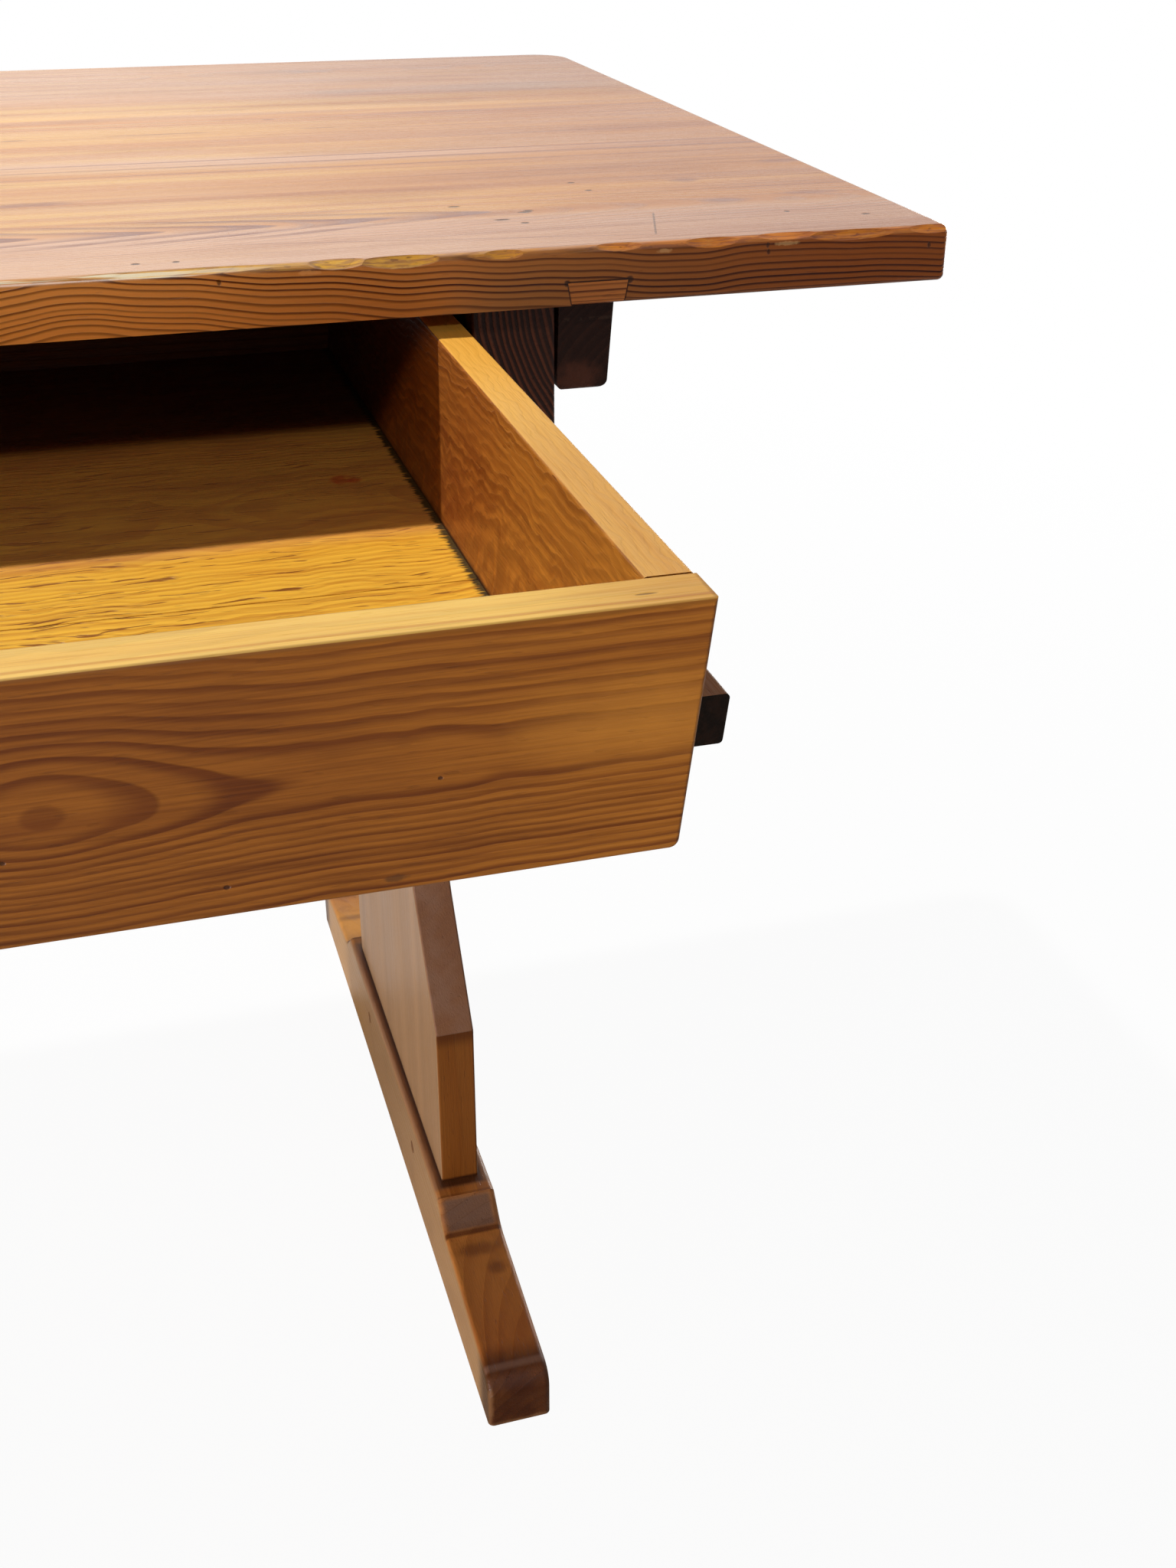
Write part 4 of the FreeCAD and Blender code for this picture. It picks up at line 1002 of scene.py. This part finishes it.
class TABLE_OT_dress_drawer(bpy.types.Operator):
    """Finish the boards of the drawer, its runners and its knob."""

    bl_idname = "table.dress_drawer"
    bl_label = "Dress Drawer"
    bl_options = {"REGISTER", "UNDO"}

    def execute(self, context):
        look = context.scene.table_finish
        self.front(look)
        for number, (side, sign) in enumerate(SIDES):
            self.side(look, side, sign, number)
            self.runner(look, side, sign, number)
        self.back(look)
        for number, name in enumerate(("front", "middle", "back")):
            self.floor(look, name, number)
        self.knob(look)
        return {"FINISHED"}

    def back(self, look):
        board = Board("drawer_back", "X", heart=(0.03, 0.01), ring=0.004, seed=97.0)
        skin = Skin(board, look.inside_early, look.inside_late)
        # Painted shade at the back of the drawer.
        self.rear_painted_shade(skin)
        skin.close()

    def knob(self, look):
        board = Board("drawer_knob", "Y", heart=(0.004, 0.003), ring=0.0028, seed=113.0)
        skin = Skin(board, look.peg, shade(look.peg, 0.5), roughness=0.36)
        skin.close(coat=0.2)

    def runner(self, look, side, sign, number):
        """Brown strip with a nearly black end."""
        board = Board(f"drawer_runner_{side}", "Y", heart=(0.03, -0.03), ring=0.0035,
                      seed=107.0 + number, lean=sign * CANT)
        skin = Skin(board, RUNNER_WOOD, look.trestle_late, fibre=0.3, end_shade=0.0,
                    roughness=0.5, contrast=0.5)
        mottled = skin.patches((240.0, 240.0, 240.0), 0.4, 0.65, seed=3.0)
        # The end grain nearly black.
        skin.cover(skin.cross_cut * 0.98, END_BLACK)
        skin.cover(skin.cross_cut * mottled * 0.4, (0.04, 0.016, 0.008))
        skin.close(specular=0.1)

    def rear_painted_shade(self, skin):
        """Painted shade at the back of the drawer, on its inner faces."""
        tree, grain = skin.tree, skin.grain
        above_floor = grain.z - FLOOR
        inside = tree.fall(abs(grain.x) - above_floor * CANT, INSIDE_X + 0.004, INSIDE_X + 0.008)
        # Full behind the line where the top's front edge shades the second lamp's light.
        behind = tree.ramp(grain.y + above_floor * REAR_SHADE_SLOPE, REAR_SHADE_START, REAR_SHADE_FULL)
        skin.tint(behind * inside * 0.92, REAR_SHADE)

    def rim(self, skin, look, share=1.0):
        """Where the rubbed upper edge of a board is, and its pale wood with a share of rings."""
        tree, grain = skin.tree, skin.grain
        on_rim = tree.ramp(skin.up, 0.70, 0.86) * tree.ramp(grain.z, RIM - 0.003, RIM - 0.001)
        pale = tree.blend(grain.late * (0.35 * share), look.rim, shade(look.rim, 0.6))
        pale = tree.times(tree.ramp(grain.streak, 0.42, 0.75) * 0.35, pale, (0.8, 0.60, 0.42))
        pale = tree.times(tree.ramp(grain.fibre, 0.5, 0.7) * 0.3, pale, (0.6, 0.42, 0.3))
        return on_rim, pale

    def front(self, look):
        """Flame of broad soft rings on the right of the front, crowded lines below it."""
        board = Board("drawer_front", "X", heart=(0.0214, -0.0015), ring=0.0030,
                      swell=(0, 0.160, 0.0078, 0.048), crowd=(1, -0.004, -0.043, 5.5),
                      wander=0.0014, waves=0.0024, wave_length=0.05, uneven=1.2,
                      late=(0.3, 0.82), seed=83.0)
        skin = Skin(board, look.drawer_early, look.drawer_late, fibre=0.45, mottle=0.45,
                    dashes=0.2, roughness=0.44, contrast=0.9, end_shade=0.25)
        tree, grain = skin.tree, skin.grain
        eye = skin.spot((0.158, DRAWER_FACE, 0.680), (0.034, 0.01, 0.0026), edge=0.9,
                        ragged=0.9, scale=45.0)
        skin.cover(eye * 0.35, look.drawer_late)
        hairs = skin.noise((5.0, 0.0, 620.0), detail=4.0, roughness=0.6)
        skin.tint(tree.ramp(hairs, 0.52, 0.68) * 0.35, (0.55, 0.42, 0.34))
        # Painted shade: the front darker towards the left, where less light falls on it.
        skin.tint(tree.fall(grain.x, 0.18, 0.41, 0.9), (0.62, 0.56, 0.52))
        low_streaks = tree.ramp(grain.streak, 0.42, 0.62) * tree.fall(grain.z, 0.655, 0.680)
        skin.tint(low_streaks * 0.4, (0.60, 0.52, 0.48))
        # Painted light: a golden patch on the right of the front.
        golden_light = skin.spot((0.345, DRAWER_FACE, 0.690), (0.035, 0.01, 0.012), edge=0.9,
                           ragged=0.6, scale=60.0)
        skin.cover(golden_light * 0.5, FRONT_LIT_GOLDEN)
        self.front_rim(skin, look)
        for x, z, size in FRONT_HOLES:
            skin.hole((x, DRAWER_FACE, z), (size * 0.0009, 0.002, size * 0.0007))
        crack = skin.spot((0.2598, DRAWER_FACE, 0.6452), (0.0035, 0.002, 0.0012), ragged=1.0,
                          scale=500.0)
        skin.cover(crack * 0.6, (0.06, 0.025, 0.01))
        skin.hole((0.342, DRAWER_FACE + 0.009, RIM), (0.0035, 0.0006, 0.002), share=0.6)
        skin.wear(shade(look.drawer_early, 0.5), 0.0018, share=0.5)
        skin.close()

    def front_rim(self, skin, look):
        """Rim of the front: an orange stripe near its face, browner at the right corner."""
        tree, grain = skin.tree, skin.grain
        on_rim, pale = self.rim(skin, look)
        stripe = tree.near(grain.y - DRAWER_FACE - 0.0045 + (grain.cloud - 0.5) * 0.004,
                           0.0004, 0.0013)
        pale = tree.blend(stripe * 0.5, pale, STRIPE_ORANGE)
        pale = tree.times(tree.ramp(grain.x, 0.29, 0.36) * 0.75, pale, (0.66, 0.50, 0.42))
        skin.cover(on_rim, pale)

    def side(self, look, side, sign, number):
        """Straight grain near the rim and a rippled figure below it on the inner face."""
        board = Board(f"drawer_side_{side}", "Y", heart=(sign * -0.055, -0.030), ring=0.0030,
                      tilt=(0.0, 0.05), wander=0.004, waves=0.0042, wave_length=0.021,
                      uneven=1.4, late=(0.08, 0.62), seed=89.0 + number, lean=sign * CANT)
        skin = Skin(board, look.inside_early, look.inside_late, fibre=0.4, mottle=0.45,
                    roughness=0.48, contrast=0.58)
        tree, grain = skin.tree, skin.grain
        tongues = tree.noise(tree.vector(grain.x * 20.0, grain.y * 55.0,
                                         (grain.z + grain.y * 0.25) * 130.0), detail=3.0)
        below_rim = tree.fall(grain.z, 0.694, 0.716)
        skin.cover(tree.ramp(tongues, 0.44, 0.60) * below_rim * 0.45, look.inside_late)
        # Painted shade: the inner face darker towards the back.
        skin.tint(tree.ramp(grain.y, -0.36, -0.24) * 0.85, (0.66, 0.51, 0.55))
        # Painted shade at the back of the drawer.
        self.rear_painted_shade(skin)
        on_rim, pale = self.rim(skin, look, share=0.25)
        to_back = tree.ramp(grain.y, -0.36, -0.20)
        pale = tree.times(1.0 - to_back, pale, (0.77, 0.63, 0.58))
        pale = tree.blend(to_back * 0.7, pale, (0.90, 0.39, 0.03))
        skin.cover(on_rim, pale)
        joint = tree.fall(grain.z + (grain.streak - 0.5) * 0.003, FLOOR + 0.0006,
                          FLOOR + 0.0026, 0.95)
        skin.tint(joint, (0.06, 0.04, 0.02))
        skin.close()

    def floor(self, look, name, number):
        """Golden boards with dark dashes, long faint rings and dirt along the sides."""
        board = Board(f"drawer_floor_{name}", "X", heart=(0.03 * number - 0.02, -0.05),
                      ring=0.0040, wander=0.009, waves=0.0100, wave_length=0.05,
                      late=(0.2, 0.8), seed=101.0 + number)
        skin = Skin(board, look.floor_early, look.floor_late, fibre=0.22, dashes=0.4,
                    mottle=0.18, roughness=0.48, contrast=0.7)
        self.slots(skin)
        tree, grain = skin.tree, skin.grain
        warm = skin.patches((7.0, 20.0, 0.0), 0.5, 0.72, seed=12.0)
        skin.tint(warm * 0.4, (0.95, 0.72, 0.4))
        # Painted shade behind the key lamp's shadow edge on the floor: mottled, darker and
        # browner.
        mottled_shade = skin.patches((14.0, 60.0, 0.0), 0.44, 0.62, seed=31.0, detail=5.0)
        to_back = tree.ramp(grain.y, -0.226, -0.204)
        skin.tint(mottled_shade * to_back * 0.7, (0.55, 0.46, 0.42))
        skin.cover(to_back * 0.5, (0.78, 0.30, 0.09))
        # Painted shade at the back of the drawer.
        self.rear_painted_shade(skin)
        reach = skin.noise((90.0, 420.0, 0.0), level=1.0, detail=4.0)
        dirt = tree.ramp(abs(grain.x) + (reach - 0.5) * 0.011, INSIDE_X - 0.0042,
                         INSIDE_X - 0.0016)
        skin.cover(dirt * 0.95, DIRT)
        seam = board.half.y - abs(grain.y - board.middle.y)
        skin.tint(tree.near(seam, 0.0003, 0.0010) * 0.2, (0.4, 0.25, 0.12))
        if name == "middle":
            for x, y, size in STAINS:
                stain = skin.spot((x, y, FLOOR), (0.0042 * size, 0.0055 * size, 0.004),
                                  edge=0.6, ragged=1.6, scale=260.0)
                skin.cover(stain * 0.6, STAIN_RED)
        skin.close()

    def slots(self, skin):
        """Short dark slots along the grain, fewer at the sides, among fine brown threads."""
        tree, grain = skin.tree, skin.grain
        sway = (skin.noise((18.0, 34.0, 0.0), level=9.0) - 0.5) * 0.022
        slots = tree.noise(tree.vector(grain.x * 40.0, (grain.y + sway) * 420.0, 2.0),
                           detail=3.0)
        fewer = tree.ramp(abs(grain.x), 0.12, 0.32, 0.0, 0.05)
        dark = tree.ramp(slots - fewer, 0.58, 0.63)
        skin.tint(dark * 0.85, (0.26, 0.12, 0.05))
        skin.dent(dark, 1.0)
        threads = tree.noise(tree.vector(grain.x * 9.0, (grain.y + sway) * 260.0, 6.0),
                             detail=4.0, roughness=0.6)
        skin.tint(tree.ramp(threads, 0.50, 0.62) * 0.45, (0.62, 0.42, 0.25))


# ---- stage -----------------------------------------------------------------------------------

# What the lamps point at, how far under the feet the floor lies, and the width of the camera's
# sensor in millimetres.
AIM = Vector((0.15, -0.1, 0.7))
FLOOR_DROP = 0.0005
SENSOR_WIDTH = 36.0
# Lamps: name, place from what they point at, width and height.
LAMPS = (("key", (-0.90, 1.13, 2.58), 0.10, 0.10),
         ("second", (-0.15, -2.37, 1.83), 0.16, 0.16),
         ("low", (-2.60, -1.85, -0.34), 1.6, 0.6),
         ("back", (2.60, 2.30, -0.30), 1.6, 0.7))


class TABLE_OT_set_stage(bpy.types.Operator):
    """Set up the pale floor, the lamps, the sky and the camera."""

    bl_idname = "table.set_stage"
    bl_label = "Set Stage"
    bl_options = {"REGISTER", "UNDO"}

    def execute(self, context):
        stage = context.scene.table_stage
        self.floor(context, stage)
        self.sky(context, stage)
        for name, offset, width, height in LAMPS:
            power = getattr(stage, f"{name}_light")
            self.lamp(context, name, Vector(offset), power, width, height)
        self.camera(context, stage)
        return {"FINISHED"}

    def floor(self, context, stage):
        """Pale floor that takes the table's shadow and looks nearly white far away."""
        half = stage.floor_size / 2
        mesh = bpy.data.meshes.new("floor")
        mesh.from_pydata([(-half, -half, 0), (half, -half, 0), (half, half, 0), (-half, half, 0)],
                         [], [(0, 1, 2, 3)])
        floor = bpy.data.objects.new("floor", mesh)
        floor.location.z = -FLOOR_DROP
        context.scene.collection.objects.link(floor)
        tree = Tree(bpy.data.materials.new("pale_floor"))
        matt = tree.node("ShaderNodeBsdfDiffuse", None, {"Color": (0.86, 0.86, 0.86, 1.0)})
        white = tree.node("ShaderNodeEmission", None, {"Color": (1, 1, 1, 1), "Strength": 1.0})
        seen = tree.node("ShaderNodeLightPath", output="Is Camera Ray")
        x, y, _ = tree.split(tree.place())
        paler = tree.ramp(tree.root(x * x + y * y), 0.9, 2.8, 0.95, 1.0)
        mixed = tree.node("ShaderNodeMixShader", None, {0: seen * paler, 1: matt, 2: white})
        tree.node("ShaderNodeOutputMaterial", None, {"Surface": mixed})
        mesh.materials.append(tree.owner)

    def sky(self, context, stage):
        """Even light that looks white to the camera and in gloss."""
        world = bpy.data.worlds.new("sky")
        tree = Tree(world)
        seen = tree.most(tree.node("ShaderNodeLightPath", output="Is Camera Ray"),
                         tree.node("ShaderNodeLightPath", output="Is Glossy Ray"))
        light = tree.node("ShaderNodeBackground", None,
                          {"Color": (1.0, 1.0, 1.0, 1.0),
                           "Strength": seen * (1.0 - stage.sky) + stage.sky})
        tree.node("ShaderNodeOutputWorld", None, {"Surface": light})
        context.scene.world = world

    def lamp(self, context, name, offset, power, width, height):
        light = bpy.data.lights.new(name, "AREA")
        light.energy = power
        light.shape = "RECTANGLE"
        light.size = width
        light.size_y = height
        lamp = bpy.data.objects.new(name, light)
        lamp.location = AIM + offset
        lamp.rotation_euler = (-offset).to_track_quat("-Z", "Y").to_euler()
        context.scene.collection.objects.link(lamp)

    def camera(self, context, stage):
        lens = bpy.data.cameras.new("camera")
        lens.lens = stage.focal_length
        lens.sensor_width = SENSOR_WIDTH
        camera = bpy.data.objects.new("camera", lens)
        camera.location = stage.camera_place
        camera.rotation_euler = stage.camera_turn
        context.scene.collection.objects.link(camera)
        context.scene.camera = camera
        context.scene.view_settings.view_transform = "Standard"


class TABLE_PT_sidebar(bpy.types.Panel):
    """Steps and settings of the table."""

    bl_label = "Trestle Table"
    bl_idname = "TABLE_PT_sidebar"
    bl_space_type = "VIEW_3D"
    bl_region_type = "UI"
    bl_category = "Table"

    def draw(self, context):
        for step in STEPS:
            self.layout.operator(step.bl_idname)
        for group in (context.scene.table_finish, context.scene.table_stage):
            for name in group.__annotations__:
                self.layout.prop(group, name)


STEPS = (TABLE_OT_dress_top, TABLE_OT_dress_rails, TABLE_OT_dress_trestles,
         TABLE_OT_dress_drawer, TABLE_OT_set_stage)
CLASSES = (TableFinish, TableStage, *STEPS, TABLE_PT_sidebar)


def register():
    for entry in CLASSES:
        bpy.utils.register_class(entry)
    bpy.types.Scene.table_finish = bpy.props.PointerProperty(type=TableFinish)
    bpy.types.Scene.table_stage = bpy.props.PointerProperty(type=TableStage)


def unregister():
    del bpy.types.Scene.table_finish
    del bpy.types.Scene.table_stage
    for entry in reversed(CLASSES):
        bpy.utils.unregister_class(entry)


def main():
    register()
    bpy.ops.table.dress_top()
    bpy.ops.table.dress_rails()
    bpy.ops.table.dress_trestles()
    bpy.ops.table.dress_drawer()
    bpy.ops.table.set_stage()


if __name__ == "__main__":
    main()
